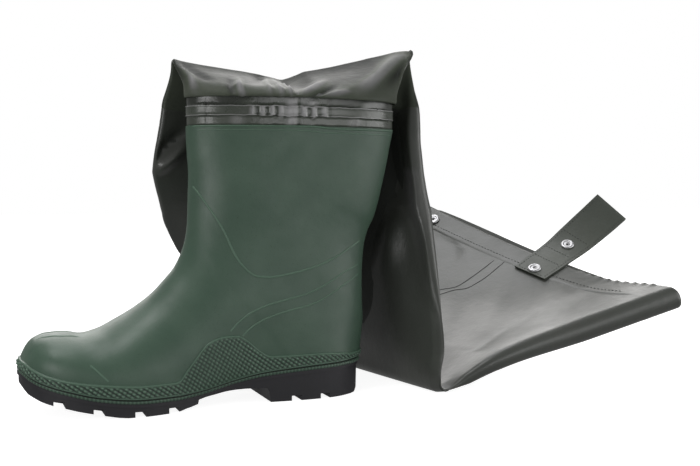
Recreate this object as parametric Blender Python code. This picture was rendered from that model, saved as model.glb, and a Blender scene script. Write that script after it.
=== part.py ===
"""Hip wader, left boot: a moulded rubber boot with a soft shaft welded over its rim.

Frame: metres, +Z up. The origin is the centre of the heel's rest face on the floor.
The toe points to -X, the outer side of the foot to -Y.
The soft shaft folds over behind the boot, stands on a crease and springs up to its hem.
"""
import math

import bpy
import numpy as np

# Driving sizes, metres
BOOT_LENGTH = 0.305
BALL_WIDTH = 0.109
COLLAR_HEIGHT = 0.244
INSTEP_HEIGHT = 0.100
HEEL_HEIGHT = 0.030
WALL = 0.0026
RAND_STEP = 0.0012
LIP_STEP = 0.0006
RIM_HEIGHT = 0.021
RIM_WALL = 0.0014
INSOLE_THICKNESS = 0.0030
SOLE_LIP = 0.0030
SOLE_STEP = 0.0006
LUG_DEPTH = 0.0045
LUG_GAP = 0.0090
LUG_REACH = 0.0220
FABRIC = 0.0010
BAND_STEP = 0.0007
HEM_STEP = 0.0006
HEM_WIDTH = 0.032
FOLD_RADIUS = 0.0075
CREASE_RADIUS = 0.0065
STRAP_WIDTH = 0.0432
STRAP_LENGTH = 0.143
STRAP_THICKNESS = 0.0022
SNAP_DIAMETER = 0.0145
SNAP_HEIGHT = 0.0022
SNAP_STAND = 0.00055
SNAP_HOLE = 0.0044
POST_DIAMETER = 0.0064
CLEAR = 0.0003

STRAP_CLEAR = 0.0004
STRAP_TURN = -8.9
STRAP_SETBACK = 0.004
STRAP_LOOP = 0.0030
STRAP_LOOP_AT = 0.8
STRIP_HEIGHT = 0.0024
STRIP_GROOVE = 0.0010
STRIP_STEP = 0.0008
SOLE_TAPER = 0.0012
INSOLE_INSET = 0.0036
TOE_BLEND = 0.030
CUT_MARGIN = 0.004
FLAT_END = 0.0004
SHARE_STEP = 0.05
CLOSE_PLACES = 0.012
RIM_INSET = BAND_STEP + FABRIC + CLEAR

# How finely the pieces are cut
QUARTER = 7
LINE_POINTS = 49
SIDE_POINTS = 12
OUTLINE_POINTS = 12
FOLD_CUTS = 6
CREASE_CUTS = 5
FALL_CUTS = 1
STRAP_CUTS = 10
STRAP_POINTS = 5
SNAP_POINTS = 14
BAND_ROWS = 4

# Foot outline. at: share of BOOT_LENGTH from the heel's centre, toe negative.
# outer and inner: shares of BALL_WIDTH on the outer and inner side.
OUTLINE = [
    ("at", "outer", "inner"),
    (-0.8295, -0.040, 0.070),
    (-0.8197, 0.110, 0.200),
    (-0.8000, 0.230, 0.290),
    (-0.7705, 0.335, 0.360),
    (-0.7377, 0.400, 0.405),
    (-0.7082, 0.435, 0.430),
    (-0.6295, 0.492, 0.465),
    (-0.5246, 0.523, 0.477),
    (-0.4262, 0.470, 0.435),
    (-0.3574, 0.410, 0.378),
    (-0.2951, 0.368, 0.330),
    (-0.2426, 0.350, 0.308),
    (-0.1377, 0.372, 0.318),
    (-0.0393, 0.395, 0.350),
    (0.0131, 0.392, 0.355),
    (0.0525, 0.378, 0.350),
    (0.0918, 0.340, 0.322),
    (0.1246, 0.284, 0.272),
    (0.1475, 0.218, 0.210),
    (0.1607, 0.160, 0.155),
    (0.1705, 0.090, 0.088),
    (0.1755, 0.012, 0.012),
]

# Line where upper and sole meet. at: share of BOOT_LENGTH. height: share of HEEL_HEIGHT.
WELT = [
    ("at", "height"),
    (-0.8600, 1.200),
    (-0.8295, 1.190),
    (-0.8000, 1.010),
    (-0.7705, 0.880),
    (-0.7082, 0.690),
    (-0.6295, 0.500),
    (-0.5246, 0.380),
    (-0.4262, 0.370),
    (-0.3574, 0.430),
    (-0.2426, 0.660),
    (-0.1607, 0.800),
    (-0.0328, 0.900),
    (0.0623, 0.940),
    (0.1755, 0.970),
    (0.2300, 0.975),
]

# Underside of the sole. at: share of BOOT_LENGTH. height: share of HEEL_HEIGHT.
TREAD = [
    ("at", "height"),
    (-0.8295, 0.893),
    (-0.8066, 0.620),
    (-0.7770, 0.480),
    (-0.7475, 0.393),
    (-0.7180, 0.325),
    (-0.6885, 0.245),
    (-0.6459, 0.155),
    (-0.6000, 0.060),
    (-0.5574, 0.000),
    (-0.4262, 0.000),
    (-0.3934, 0.070),
    (-0.3574, 0.150),
    (-0.3546, 0.270),
    (-0.3049, 0.360),
    (-0.2623, 0.420),
    (-0.2131, 0.440),
    (-0.1500, 0.420),
    (-0.1440, 0.300),
    (-0.1390, 0.000),
    (0.1410, 0.000),
    (0.1540, 0.090),
    (0.1640, 0.300),
    (0.1755, 0.620),
]

# Top edge of the raised rand. at: share of BOOT_LENGTH. height: share of COLLAR_HEIGHT.
RAND_TOP = [
    ("at", "height"),
    (-0.8600, 0.190),
    (-0.8184, 0.184),
    (-0.7948, 0.170),
    (-0.7531, 0.149),
    (-0.6872, 0.130),
    (-0.6026, 0.117),
    (-0.5141, 0.109),
    (-0.4308, 0.109),
    (-0.4174, 0.113),
    (-0.3977, 0.142),
    (-0.3646, 0.192),
    (-0.3380, 0.229),
    (-0.3118, 0.246),
    (-0.2780, 0.254),
    (-0.2443, 0.253),
    (-0.2170, 0.237),
    (-0.1839, 0.202),
    (-0.1449, 0.173),
    (-0.0856, 0.171),
    (-0.0151, 0.171),
    (0.0846, 0.164),
    (0.1557, 0.150),
    (0.2300, 0.146),
]

# Boot sections from the toe to the heel's back corner, fanned about the instep.
# front_at, base_at: shares of BOOT_LENGTH.
# rise: height of the front, 1 at INSTEP_HEIGHT, 2 at COLLAR_HEIGHT.
# outer, inner: largest half widths, shares of BALL_WIDTH. belly: where they lie, share of the section.
# low, high: how full the lower and upper parts are (2 is an ellipse). shift: ridge towards the inner side.
FOOT = [
    ("front_at", "rise", "base_at", "outer", "inner", "belly", "low", "high", "shift"),
    (-0.8236, 0.423, -0.8223, 0.070, 0.150, 0.350, 2.4, 2.2, 0.046),
    (-0.8141, 0.495, -0.8092, 0.174, 0.239, 0.350, 2.4, 2.2, 0.046),
    (-0.8020, 0.562, -0.7885, 0.275, 0.312, 0.320, 2.4, 2.3, 0.046),
    (-0.7836, 0.616, -0.7574, 0.367, 0.381, 0.300, 2.4, 2.4, 0.042),
    (-0.7525, 0.648, -0.7230, 0.429, 0.427, 0.280, 2.4, 2.5, 0.039),
    (-0.7082, 0.654, -0.6754, 0.475, 0.459, 0.260, 2.4, 2.5, 0.033),
    (-0.6557, 0.639, -0.6230, 0.505, 0.479, 0.260, 2.4, 2.4, 0.028),
    (-0.6118, 0.670, -0.5721, 0.523, 0.484, 0.260, 2.4, 2.3, 0.022),
    (-0.5590, 0.752, -0.5115, 0.527, 0.481, 0.260, 2.4, 2.2, 0.017),
    (-0.5059, 0.849, -0.4475, 0.501, 0.461, 0.270, 2.4, 2.1, 0.011),
    (-0.4570, 0.965, -0.3787, 0.462, 0.429, 0.300, 2.4, 2.0, 0.006),
    (-0.4180, 1.062, -0.3016, 0.433, 0.402, 0.340, 2.4, 2.0, 0.003),
    (-0.3879, 1.142, -0.2164, 0.411, 0.382, 0.380, 2.4, 2.0, 0.000),
    (-0.3679, 1.233, -0.1246, 0.398, 0.372, 0.400, 2.4, 2.0, 0.000),
    (-0.3561, 1.326, -0.0262, 0.396, 0.374, 0.400, 2.4, 2.0, 0.000),
    (-0.3521, 1.399, 0.0656, 0.394, 0.376, 0.400, 2.3, 2.0, 0.000),
    (-0.3511, 1.451, 0.1262, 0.388, 0.373, 0.420, 2.2, 2.0, 0.000),
    (-0.3508, 1.476, 0.1508, 0.385, 0.372, 0.425, 2.2, 2.0, 0.000),
    (-0.3508, 1.493, 0.1649, 0.383, 0.372, 0.430, 2.2, 2.0, 0.000),
    (-0.3505, 1.507, 0.1738, 0.379, 0.371, 0.435, 2.2, 2.0, 0.000),
]

# Boot sections from the heel's back corner to the collar.
# climb: height of the back, 0 at HEEL_HEIGHT, 1 at COLLAR_HEIGHT. lip: share of LIP_STEP.
LEG = [
    ("front_at", "rise", "back_at", "climb", "half", "belly", "low", "high", "lip"),
    (-0.3505, 1.522, 0.1800, 0.007, 0.376, 0.440, 2.2, 2.0, 0.0),
    (-0.3498, 1.587, 0.1898, 0.093, 0.368, 0.460, 2.1, 2.0, 0.0),
    (-0.3482, 1.649, 0.1961, 0.170, 0.362, 0.470, 2.1, 2.0, 0.0),
    (-0.3479, 1.700, 0.1938, 0.253, 0.358, 0.480, 2.0, 2.0, 0.0),
    (-0.3482, 1.749, 0.1934, 0.348, 0.354, 0.490, 2.0, 2.0, 0.0),
    (-0.3502, 1.797, 0.1974, 0.462, 0.350, 0.500, 2.0, 2.0, 0.0),
    (-0.3515, 1.839, 0.2111, 0.547, 0.350, 0.500, 2.0, 2.0, 0.0),
    (-0.3528, 1.881, 0.2334, 0.612, 0.350, 0.500, 2.0, 2.0, 0.0),
    (-0.3538, 1.926, 0.2541, 0.709, 0.350, 0.500, 2.0, 2.0, 0.0),
    (-0.3541, 1.958, 0.2754, 0.836, 0.350, 0.500, 2.0, 2.0, 0.0),
    (-0.3541, 1.973, 0.2967, 0.981, 0.350, 0.500, 2.0, 2.0, 0.0),
    (-0.3541, 1.976, 0.2970, 0.984, 0.350, 0.500, 2.0, 2.0, 1.0),
    (-0.3541, 2.000, 0.3000, 1.000, 0.350, 0.500, 2.0, 2.0, 1.0),
]

# Rows of these tables that also shape the hollow
INSIDE_FOOT = (1, 2, 3, 4, 5, 7, 9, 11, 13, 15, 17, 19, 20)
INSIDE_LEG = (1, 3, 5, 7, 9, 10)

# Weld bands round the rim. height: share of RIM_HEIGHT above the collar. step: share of BAND_STEP.
BANDS = [
    ("height", "step"),
    (0.015, 0.0),
    (0.400, 0.0),
    (0.410, 1.0),
    (0.820, 1.0),
    (0.830, 0.2),
    (1.240, 0.2),
]

# Soft shaft above the bands, up to the top fold, then down to the crease and out to the hem.
# Each row is a curve across the flattened shaft: left and right edge and two pull points between.
# x and y: shares of BOOT_LENGTH. z: share of COLLAR_HEIGHT.
# half: half depth, share of BALL_WIDTH. flat: 0 oval, 1 flattened.
# roll: radius of the right edge, share of BALL_WIDTH.
RISE = [
    ("left", "pull_left", "pull_right", "right", "half", "flat", "roll"),
    ((-0.357, -0.005, 1.119), (-0.140, -0.005, 1.112),
     (0.090, -0.005, 1.112), (0.306, -0.005, 1.119), 0.372, 0.0, 0.0),
    ((-0.360, 0.000, 1.136), (-0.140, 0.000, 1.120),
     (0.090, 0.000, 1.116), (0.316, 0.000, 1.144), 0.340, 0.0, 0.0),
    ((-0.364, 0.026, 1.166), (-0.138, 0.026, 1.124),
     (0.088, 0.026, 1.110), (0.350, 0.026, 1.204), 0.220, 0.2, 0.0),
]
FOLD_LINE = (
    (-0.3725, 0.098, 1.211),
    (-0.1200, 0.098, 1.134),
    (0.0900, 0.098, 1.120),
    (0.4130, 0.092, 1.290),
)
FALL = [
    ("left", "pull_left", "pull_right", "right", "half", "flat", "roll"),
    ((-0.400, 0.135, 1.060), (-0.200, 0.195, 1.040),
     (0.360, 0.216, 1.040), (0.409, 0.040, 1.080), 0.030, 1.0, 0.034),
    ((-0.412, 0.196, 0.842), (-0.200, 0.236, 0.780),
     (0.335, 0.246, 0.740), (0.411, -0.038, 0.700), 0.030, 1.0, 0.034),
    ((-0.398, 0.250, 0.750), (-0.185, 0.290, 0.690),
     (0.325, 0.243, 0.620), (0.409, -0.070, 0.580), 0.030, 1.0, 0.034),
    ((-0.345, 0.360, 0.595), (-0.130, 0.410, 0.520),
     (0.300, 0.230, 0.360), (0.398, -0.160, 0.280), 0.030, 1.0, 0.034),
    ((-0.110, 0.560, 0.300), (0.030, 0.560, 0.260),
     (0.290, 0.200, 0.190), (0.386, -0.200, 0.160), 0.030, 1.0, 0.034),
]
CREASE_LINE = ((0.235, 0.754), (0.285, 0.430), (0.325, 0.120), (0.384, -0.222))
CREASE_TURN = (131.0, 106.0)
SPRING = [
    ("left", "pull_left", "pull_right", "right", "half", "flat", "roll"),
    ((0.400, 0.762, 0.215), (0.430, 0.440, 0.180),
     (0.520, 0.100, 0.116), (0.560, -0.250, 0.114), 0.036, 1.0, 0.080),
    ((0.620, 0.770, 0.450), (0.690, 0.440, 0.350),
     (0.830, 0.100, 0.215), (0.900, -0.232, 0.210), 0.040, 1.0, 0.112),
    ((0.823, 0.777, 0.672), (0.960, 0.450, 0.515),
     (1.120, 0.120, 0.338), (1.262, -0.215, 0.310), 0.040, 1.0, 0.115),
]
FOLD_HALF = 0.030
CREASE_HALF = 0.030

# Strap across the hem. along: share of STRAP_LENGTH.
# lift: height over the hem band, share of STRAP_LENGTH. twist: degrees, the near edge turned down.
# STRAP_AT: its place across the hem, -1 at the left edge and 1 at the right.
STRAP_AT = 0.111
STRAP_PATH = [
    ("along", "lift", "twist"),
    (0.00, 0.000, 0.0),
    (0.17, 0.000, 0.0),
    (0.30, 0.002, 1.0),
    (0.42, 0.008, 5.0),
    (0.53, 0.020, 11.0),
    (0.77, 0.054, 21.0),
    (1.00, 0.090, 30.0),
]
SNAP_ON_STRAP = (0.060, 0.451)
SNAP_ON_HEM = -0.86

# Cap of a snap. radius: share of the cap's radius. height: share of SNAP_HEIGHT.
SNAP_CAP = [
    ("radius", "height"),
    (1.00, 0.00),
    (1.00, 0.45),
    (0.86, 1.00),
    (0.62, 1.00),
    (0.50, 0.60),
]

# Gaps between the lugs, shares of BOOT_LENGTH
LUG_GAPS = (-0.7328, -0.6328, -0.5246, -0.4295, -0.0625, 0.0270)


def column(table, name):
    """One column of a table, as an array."""
    place = table[0].index(name)
    return np.array([row[place] for row in table[1:]], dtype=float)


def smooth(at, values, where):
    """Curve through the given values, smooth at each of them, that never overshoots."""
    at = np.asarray(at, dtype=float)
    values = np.asarray(values, dtype=float)
    steps = np.diff(values) / np.diff(at)
    slopes = np.zeros(len(at))
    slopes[0] = steps[0]
    slopes[-1] = steps[-1]
    for i in range(1, len(at) - 1):
        if steps[i - 1] * steps[i] > 0:
            slopes[i] = 2.0 * steps[i - 1] * steps[i] / (steps[i - 1] + steps[i])
    where = np.clip(np.asarray(where, dtype=float), at[0], at[-1])
    place = np.clip(np.searchsorted(at, where, side="right") - 1, 0, len(at) - 2)
    span = at[place + 1] - at[place]
    t = (where - at[place]) / span
    first = (1 + 2 * t) * (1 - t) ** 2 * values[place] + t * (1 - t) ** 2 * span * slopes[place]
    second = t * t * (3 - 2 * t) * values[place + 1] + t * t * (t - 1) * span * slopes[place + 1]
    return first + second


def outline_half(x, side):
    """Half width of the foot outline at x, on the outer or inner side."""
    return BALL_WIDTH * smooth(column(OUTLINE, "at"), column(OUTLINE, side), np.asarray(x) / BOOT_LENGTH)


def welt_height(x):
    """Height of the line where upper and sole meet."""
    return HEEL_HEIGHT * smooth(column(WELT, "at"), column(WELT, "height"), np.asarray(x) / BOOT_LENGTH)


def make_material(name, colour, roughness, metallic=0.0):
    material = bpy.data.materials.new(name)
    material.use_nodes = True
    shader = material.node_tree.nodes["Principled BSDF"]
    shader.inputs["Base Color"].default_value = (*colour, 1.0)
    shader.inputs["Roughness"].default_value = roughness
    shader.inputs["Metallic"].default_value = metallic
    material.diffuse_color = (*colour, 1.0)
    return material


def add_mesh(name, points, faces, home, material=None):
    """A mesh object with outward faces."""
    mesh = bpy.data.meshes.new(name)
    mesh.from_pydata([tuple(map(float, point)) for point in points], [], faces)
    mesh.validate()
    if material:
        mesh.materials.append(material)
    item = bpy.data.objects.new(name, mesh)
    home.objects.link(item)
    bpy.context.view_layer.update()
    if signed_volume(mesh) < 0:
        mesh.flip_normals()
    return item


def signed_volume(mesh):
    mesh.calc_loop_triangles()
    total = 0.0
    for triangle in mesh.loop_triangles:
        a, b, c = (mesh.vertices[i].co for i in triangle.vertices)
        total += a.dot(b.cross(c))
    return total / 6.0


def loft(name, rings, home, material=None):
    """Closed loft through rings with equal numbers of points."""
    count = len(rings[0])
    points = [point for ring in rings for point in ring]
    faces = []
    for i in range(len(rings) - 1):
        for j in range(count):
            k = (j + 1) % count
            faces.append((i * count + j, i * count + k, (i + 1) * count + k, (i + 1) * count + j))
    faces.append(tuple(reversed(range(count))))
    last = (len(rings) - 1) * count
    faces.append(tuple(range(last, last + count)))
    return add_mesh(name, points, faces, home, material)


def prism(name, polygon, axis, low, high, home, material=None):
    """Prism of a polygon, drawn out along Y (polygon in x, z) or along Z (polygon in x, y)."""
    rings = []
    for level in (low, high):
        if axis == "Y":
            rings.append([(x, level, z) for x, z in polygon])
        else:
            rings.append([(x, y, level) for x, y in polygon])
    return loft(name, rings, home, material)


def combine(target, tool, operation):
    """Boolean of target and tool, kept in target."""
    step = target.modifiers.new("combine", "BOOLEAN")
    step.operation = operation
    step.solver = "EXACT"
    step.object = tool
    graph = bpy.context.evaluated_depsgraph_get()
    mesh = bpy.data.meshes.new_from_object(target.evaluated_get(graph))
    target.modifiers.clear()
    old = target.data
    target.data = mesh
    bpy.data.meshes.remove(old)
    bpy.data.objects.remove(tool, do_unlink=True)
    return target


def front_height(rise):
    """Height of a point on the boot's front. rise 1 is the instep and 2 the collar."""
    if rise <= 1.0:
        return rise * INSTEP_HEIGHT
    return INSTEP_HEIGHT + (rise - 1.0) * (COLLAR_HEIGHT - INSTEP_HEIGHT)


def section(front, back, base, half, shape, shift, offset):
    """Ring of one boot section, in the plane through front and back and across the boot.

    base and half hold the outer and inner half widths at the bottom and at the belly.
    shape holds belly, low and high. offset moves the whole ring outwards.
    """
    belly, low, high = shape
    front = np.array([front[0], 0.0, front[1]])
    back = np.array([back[0], 0.0, back[1]])
    length = np.linalg.norm(front - back)
    along = (front - back) / length
    middle = belly * length
    turn = np.linspace(0.0, math.pi / 2, QUARTER + 1)
    sides = []
    for side, sign in ((0, -1.0), (1, 1.0)):
        foot = max(base[side] + offset, FLAT_END) if base[side] > 0.0 else FLAT_END
        wide = max(half[side] + offset, foot + FLAT_END)
        widths = np.concatenate([
            foot + (wide - foot) * np.sin(turn) ** (2.0 / low),
            wide * np.cos(turn[1:]) ** (2.0 / high),
        ])
        widths[-1] = 0.0
        places = np.concatenate([
            middle - (middle + offset) * np.cos(turn) ** (2.0 / low),
            middle + (length - middle + offset) * np.sin(turn[1:]) ** (2.0 / high),
        ])
        drift = shift * np.clip(places / length, 0.0, 1.0) ** 2
        ring = back + np.outer(places, along)
        ring[:, 1] += sign * widths + drift
        sides.append(list(ring))
    outer, inner = sides
    return outer + inner[-2::-1]


def foot_section(row, offset, reach):
    """Ring of the foot, run below the welt line by reach. Near the toe it also moves along the boot."""
    front_at, rise, base_at, outer, inner, belly, low, high, shift = row
    base_x = base_at * BOOT_LENGTH
    base = (float(outline_half(base_x, "outer")), float(outline_half(base_x, "inner")))
    toe = FOOT[1][0] * BOOT_LENGTH
    slide = offset * max(0.0, 1.0 - (front_at * BOOT_LENGTH - toe) / TOE_BLEND)
    front = (front_at * BOOT_LENGTH - slide, front_height(rise))
    back = (base_x - slide, float(welt_height(base_x)) - reach)
    half = (outer * BALL_WIDTH, inner * BALL_WIDTH)
    return section(front, back, base, half, (belly, low, high), shift * BALL_WIDTH, offset)


def leg_section(row, offset):
    """Ring of the leg."""
    front_at, rise, back_at, climb, half, belly, low, high, lip = row
    front = (front_at * BOOT_LENGTH, front_height(rise))
    back = (back_at * BOOT_LENGTH, HEEL_HEIGHT + climb * (COLLAR_HEIGHT - HEEL_HEIGHT))
    wide = half * BALL_WIDTH
    return section(front, back, (0.0, 0.0), (wide, wide), (belly, low, high), 0.0, offset)


def rim_section(level, offset):
    """Ring straight above the collar."""
    front_at, rise, back_at, climb, half, belly, low, high, lip = LEG[-1]
    wide = half * BALL_WIDTH
    front = (front_at * BOOT_LENGTH, level)
    back = (back_at * BOOT_LENGTH, level)
    return section(front, back, (0.0, 0.0), (wide, wide), (belly, low, high), 0.0, offset)


def boot_outside():
    """Rings of the upper's outer surface, with the collar's lip and the rim over it."""
    rings = [foot_section(row, 0.0, CUT_MARGIN) for row in FOOT[1:]]
    rings += [leg_section(row, row[-1] * LIP_STEP) for row in LEG[1:]]
    rings.append(rim_section(COLLAR_HEIGHT, -RIM_INSET))
    rings.append(rim_section(COLLAR_HEIGHT + RIM_HEIGHT, -RIM_INSET))
    return rings


def boot_inside():
    """Rings of the upper's hollow, open through the bottom and the rim."""
    rings = [foot_section(FOOT[number], -WALL, 2.0 * WALL + CUT_MARGIN) for number in INSIDE_FOOT]
    rings += [leg_section(LEG[number], -WALL) for number in INSIDE_LEG]
    rings.append(rim_section(COLLAR_HEIGHT, -RIM_INSET - RIM_WALL))
    rings.append(rim_section(COLLAR_HEIGHT + RIM_HEIGHT + CUT_MARGIN, -RIM_INSET - RIM_WALL))
    return rings


def boot_band(offset):
    """Rings of the lower boot moved outwards, for the raised bands."""
    rings = [foot_section(row, offset, CUT_MARGIN) for row in FOOT[1:]]
    return rings + [leg_section(row, offset) for row in LEG[1:BAND_ROWS]]


def line_places(table, count):
    """Places along the boot: those of a table, and even ones that aren't close to them."""
    at = column(table, "at")
    even_places = np.linspace(at[0], at[-1], count)
    apart = np.abs(even_places[:, None] - at[None, :]).min(axis=1) > CLOSE_PLACES
    return np.sort(np.concatenate([at, even_places[apart]])) * BOOT_LENGTH


def rand_height(x):
    """Height of the rand's top edge."""
    return COLLAR_HEIGHT * smooth(column(RAND_TOP, "at"), column(RAND_TOP, "height"), x / BOOT_LENGTH)


def tread_height(x):
    """Height of the sole's underside."""
    return HEEL_HEIGHT * smooth(column(TREAD, "at"), column(TREAD, "height"), x / BOOT_LENGTH)


def between(places, low, high):
    """Polygon in x, z between two height lines."""
    lower = [(x, z) for x, z in zip(places, low)]
    upper = [(x, z) for x, z in zip(places, high)]
    return lower + upper[::-1]


def outline_polygon(inset):
    """Foot outline in x, y, moved inwards by inset."""
    places = line_places(OUTLINE, OUTLINE_POINTS)
    outer = [(x, -float(outline_half(x, "outer"))) for x in places]
    inner = [(x, float(outline_half(x, "inner"))) for x in places]
    ring = np.array(outer + inner[::-1])
    ahead = np.roll(ring, -1, axis=0) - np.roll(ring, 1, axis=0)
    length = np.linalg.norm(ahead, axis=1)
    inward = np.stack([-ahead[:, 1], ahead[:, 0]], axis=1) / length[:, None]
    return [tuple(point) for point in ring + inward * inset]


def plate(name, inset, places, low, high, home, material):
    """Plate with the foot's outline between two height lines."""
    body = prism(name, outline_polygon(inset), "Z", -CUT_MARGIN, COLLAR_HEIGHT, home, material)
    wide = BALL_WIDTH
    return combine(body, prism("band", between(places, low, high), "Y", -wide, wide, home), "INTERSECT")


def make_upper(home, material):
    upper = loft("upper", boot_outside(), home, material)
    places = line_places(RAND_TOP, SIDE_POINTS)
    welt = welt_height(places)
    wide = BALL_WIDTH
    rand = loft("rand", boot_band(RAND_STEP), home)
    profile = between(places, welt + STRIP_HEIGHT + STRIP_GROOVE, rand_height(places))
    combine(rand, prism("profile", profile, "Y", -wide, wide, home), "INTERSECT")
    combine(upper, rand, "UNION")
    strip = loft("strip", boot_band(STRIP_STEP), home)
    profile = between(places, welt - CUT_MARGIN / 2, welt + STRIP_HEIGHT)
    combine(strip, prism("profile", profile, "Y", -wide, wide, home), "INTERSECT")
    combine(upper, strip, "UNION")
    combine(upper, loft("hollow", boot_inside(), home), "DIFFERENCE")
    places = line_places(WELT, SIDE_POINTS)
    welt = welt_height(places)
    below = between(places, welt - COLLAR_HEIGHT, welt)
    combine(upper, prism("below", below, "Y", -wide, wide, home), "DIFFERENCE")
    return upper


def make_outsole(home, material):
    places = line_places(WELT, SIDE_POINTS)
    top = welt_height(places) - CLEAR
    sole = plate("outsole", 0.0, places, top - SOLE_LIP, top, home, material)
    places = line_places(TREAD, SIDE_POINTS)
    top = welt_height(places) - CLEAR
    low_ring = [(x, y, -CUT_MARGIN) for x, y in outline_polygon(SOLE_STEP + SOLE_TAPER)]
    high_ring = [(x, y, 2.0 * HEEL_HEIGHT) for x, y in outline_polygon(SOLE_STEP)]
    tread = loft("tread", [low_ring, high_ring], home)
    profile = between(places, tread_height(places), top - SOLE_LIP / 2)
    combine(tread, prism("profile", profile, "Y", -BALL_WIDTH, BALL_WIDTH, home), "INTERSECT")
    combine(sole, tread, "UNION")
    for at in LUG_GAPS:
        x = at * BOOT_LENGTH
        level = float(tread_height(np.array([x]))[0]) + LUG_DEPTH
        for side, sign in (("outer", -1.0), ("inner", 1.0)):
            start = sign * (float(outline_half(x, side)) - LUG_REACH)
            low, high = sorted((start, sign * BALL_WIDTH))
            ends = (x - LUG_GAP / 2, x + LUG_GAP / 2)
            gap = between(ends, (-CUT_MARGIN, -CUT_MARGIN), (level, level))
            combine(sole, prism("gap", gap, "Y", low, high, home), "DIFFERENCE")
    return sole


def make_insole(home, material):
    places = line_places(WELT, SIDE_POINTS)
    welt = welt_height(places)
    inset = WALL + INSOLE_INSET
    return plate("insole", inset, places, welt, welt + INSOLE_THICKNESS, home, material)


def bow(pulls):
    """Line through four pull points, metres."""
    share = np.linspace(0.0, 1.0, LINE_POINTS)[:, None]
    rest = 1.0 - share
    first, second, third, last = (np.array(pull, dtype=float) for pull in pulls)
    near = rest ** 3 * first + 3 * rest ** 2 * share * second
    return near + 3 * rest * share ** 2 * third + share ** 3 * last


def even(line, shares):
    """Points of a line at shares of its length, run on straight past its ends."""
    steps = np.linalg.norm(np.diff(line, axis=0), axis=1)
    run = np.concatenate([[0.0], np.cumsum(steps)])
    want = np.asarray(shares) * run[-1]
    points = np.stack([np.interp(want, run, line[:, axis]) for axis in range(3)], axis=1)
    first = (line[1] - line[0]) / steps[0]
    last = (line[-1] - line[-2]) / steps[-1]
    points += np.outer(np.minimum(want, 0.0), first)
    points += np.outer(np.maximum(want - run[-1], 0.0), last)
    return points


def line_length(line):
    return float(np.linalg.norm(np.diff(line, axis=0), axis=1).sum())


def table_station(row):
    """Middle line and thickness of one row of the soft shaft's tables."""
    scale = np.array([BOOT_LENGTH, BOOT_LENGTH, COLLAR_HEIGHT])
    line = even(bow([np.array(pull) * scale for pull in row[:4]]), np.linspace(0.0, 1.0, LINE_POINTS))
    half, flat, roll = row[4:7]
    return line, np.array([half * BALL_WIDTH, flat, roll * BALL_WIDTH, 0.0])


def band_stations():
    """The weld bands round the rim, straight above the collar."""
    front_at, rise, back_at, climb, half = LEG[-1][:5]
    stations = []
    for height, step in BANDS[1:]:
        level = COLLAR_HEIGHT + height * RIM_HEIGHT
        front = (front_at * BOOT_LENGTH + BAND_STEP, 0.0, level)
        back = (back_at * BOOT_LENGTH - BAND_STEP, 0.0, level)
        line = np.linspace(front, back, LINE_POINTS)
        stations.append((line, np.array([half * BALL_WIDTH - BAND_STEP, 0.0, 0.0, step * BAND_STEP])))
    return stations


def fold_stations():
    """The top fold: the shaft turns over towards the inner side."""
    scale = np.array([BOOT_LENGTH, BOOT_LENGTH, COLLAR_HEIGHT])
    centre = bow([np.array(pull) * scale for pull in FOLD_LINE])
    half = FOLD_HALF * BALL_WIDTH
    stations = []
    for angle in np.radians(np.linspace(0.0, 180.0, FOLD_CUTS)):
        line = centre + np.array([0.0, -math.cos(angle), math.sin(angle)]) * FOLD_RADIUS
        stations.append((line, np.array([half, 1.0, half, 0.0])))
    return stations


def crease_stations():
    """The crease on the floor: the shaft turns from hanging to springing up."""
    half = CREASE_HALF * BALL_WIDTH
    level = CREASE_RADIUS + half
    centre = bow([(x * BOOT_LENGTH, y * BOOT_LENGTH, level) for x, y in CREASE_LINE])
    run = centre[-1] - centre[0]
    outward = np.array([-run[1], run[0], 0.0]) / np.linalg.norm(run[:2])
    share = np.linspace(0.0, 1.0, LINE_POINTS)
    turn = CREASE_TURN[0] + (CREASE_TURN[1] - CREASE_TURN[0]) * share
    stations = []
    for part in np.linspace(0.0, 1.0, CREASE_CUTS):
        angle = np.radians(part * turn)
        line = centre - np.outer(np.cos(angle), outward) * CREASE_RADIUS
        line[:, 2] -= np.sin(angle) * CREASE_RADIUS
        stations.append((line, np.array([half, 1.0, half, 0.0])))
    return stations


def between_stations(keys, cuts):
    """The key stations with smooth ones added between them, as many as cuts says."""
    lines = np.array([line for line, shape in keys])
    shapes = np.array([shape for line, shape in keys])
    gaps = np.linalg.norm(np.diff(lines, axis=0), axis=2).mean(axis=1)
    rates = np.diff(lines, axis=0) / gaps[:, None, None]
    slopes = np.zeros_like(lines)
    slopes[0] = rates[0]
    slopes[-1] = rates[-1]
    for i in range(1, len(keys) - 1):
        slopes[i] = (rates[i - 1] * gaps[i] + rates[i] * gaps[i - 1]) / (gaps[i - 1] + gaps[i])
    stations = []
    for i in range(len(keys) - 1):
        stations.append((lines[i], shapes[i]))
        for k in range(1, cuts[i] + 1):
            t = k / (cuts[i] + 1.0)
            line = (1 + 2 * t) * (1 - t) ** 2 * lines[i] + t * (1 - t) ** 2 * gaps[i] * slopes[i]
            line = line + t * t * (3 - 2 * t) * lines[i + 1] + t * t * (t - 1) * gaps[i] * slopes[i + 1]
            stations.append((line, shapes[i] + (shapes[i + 1] - shapes[i]) * t))
    stations.append((lines[-1], shapes[-1]))
    return stations


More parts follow.
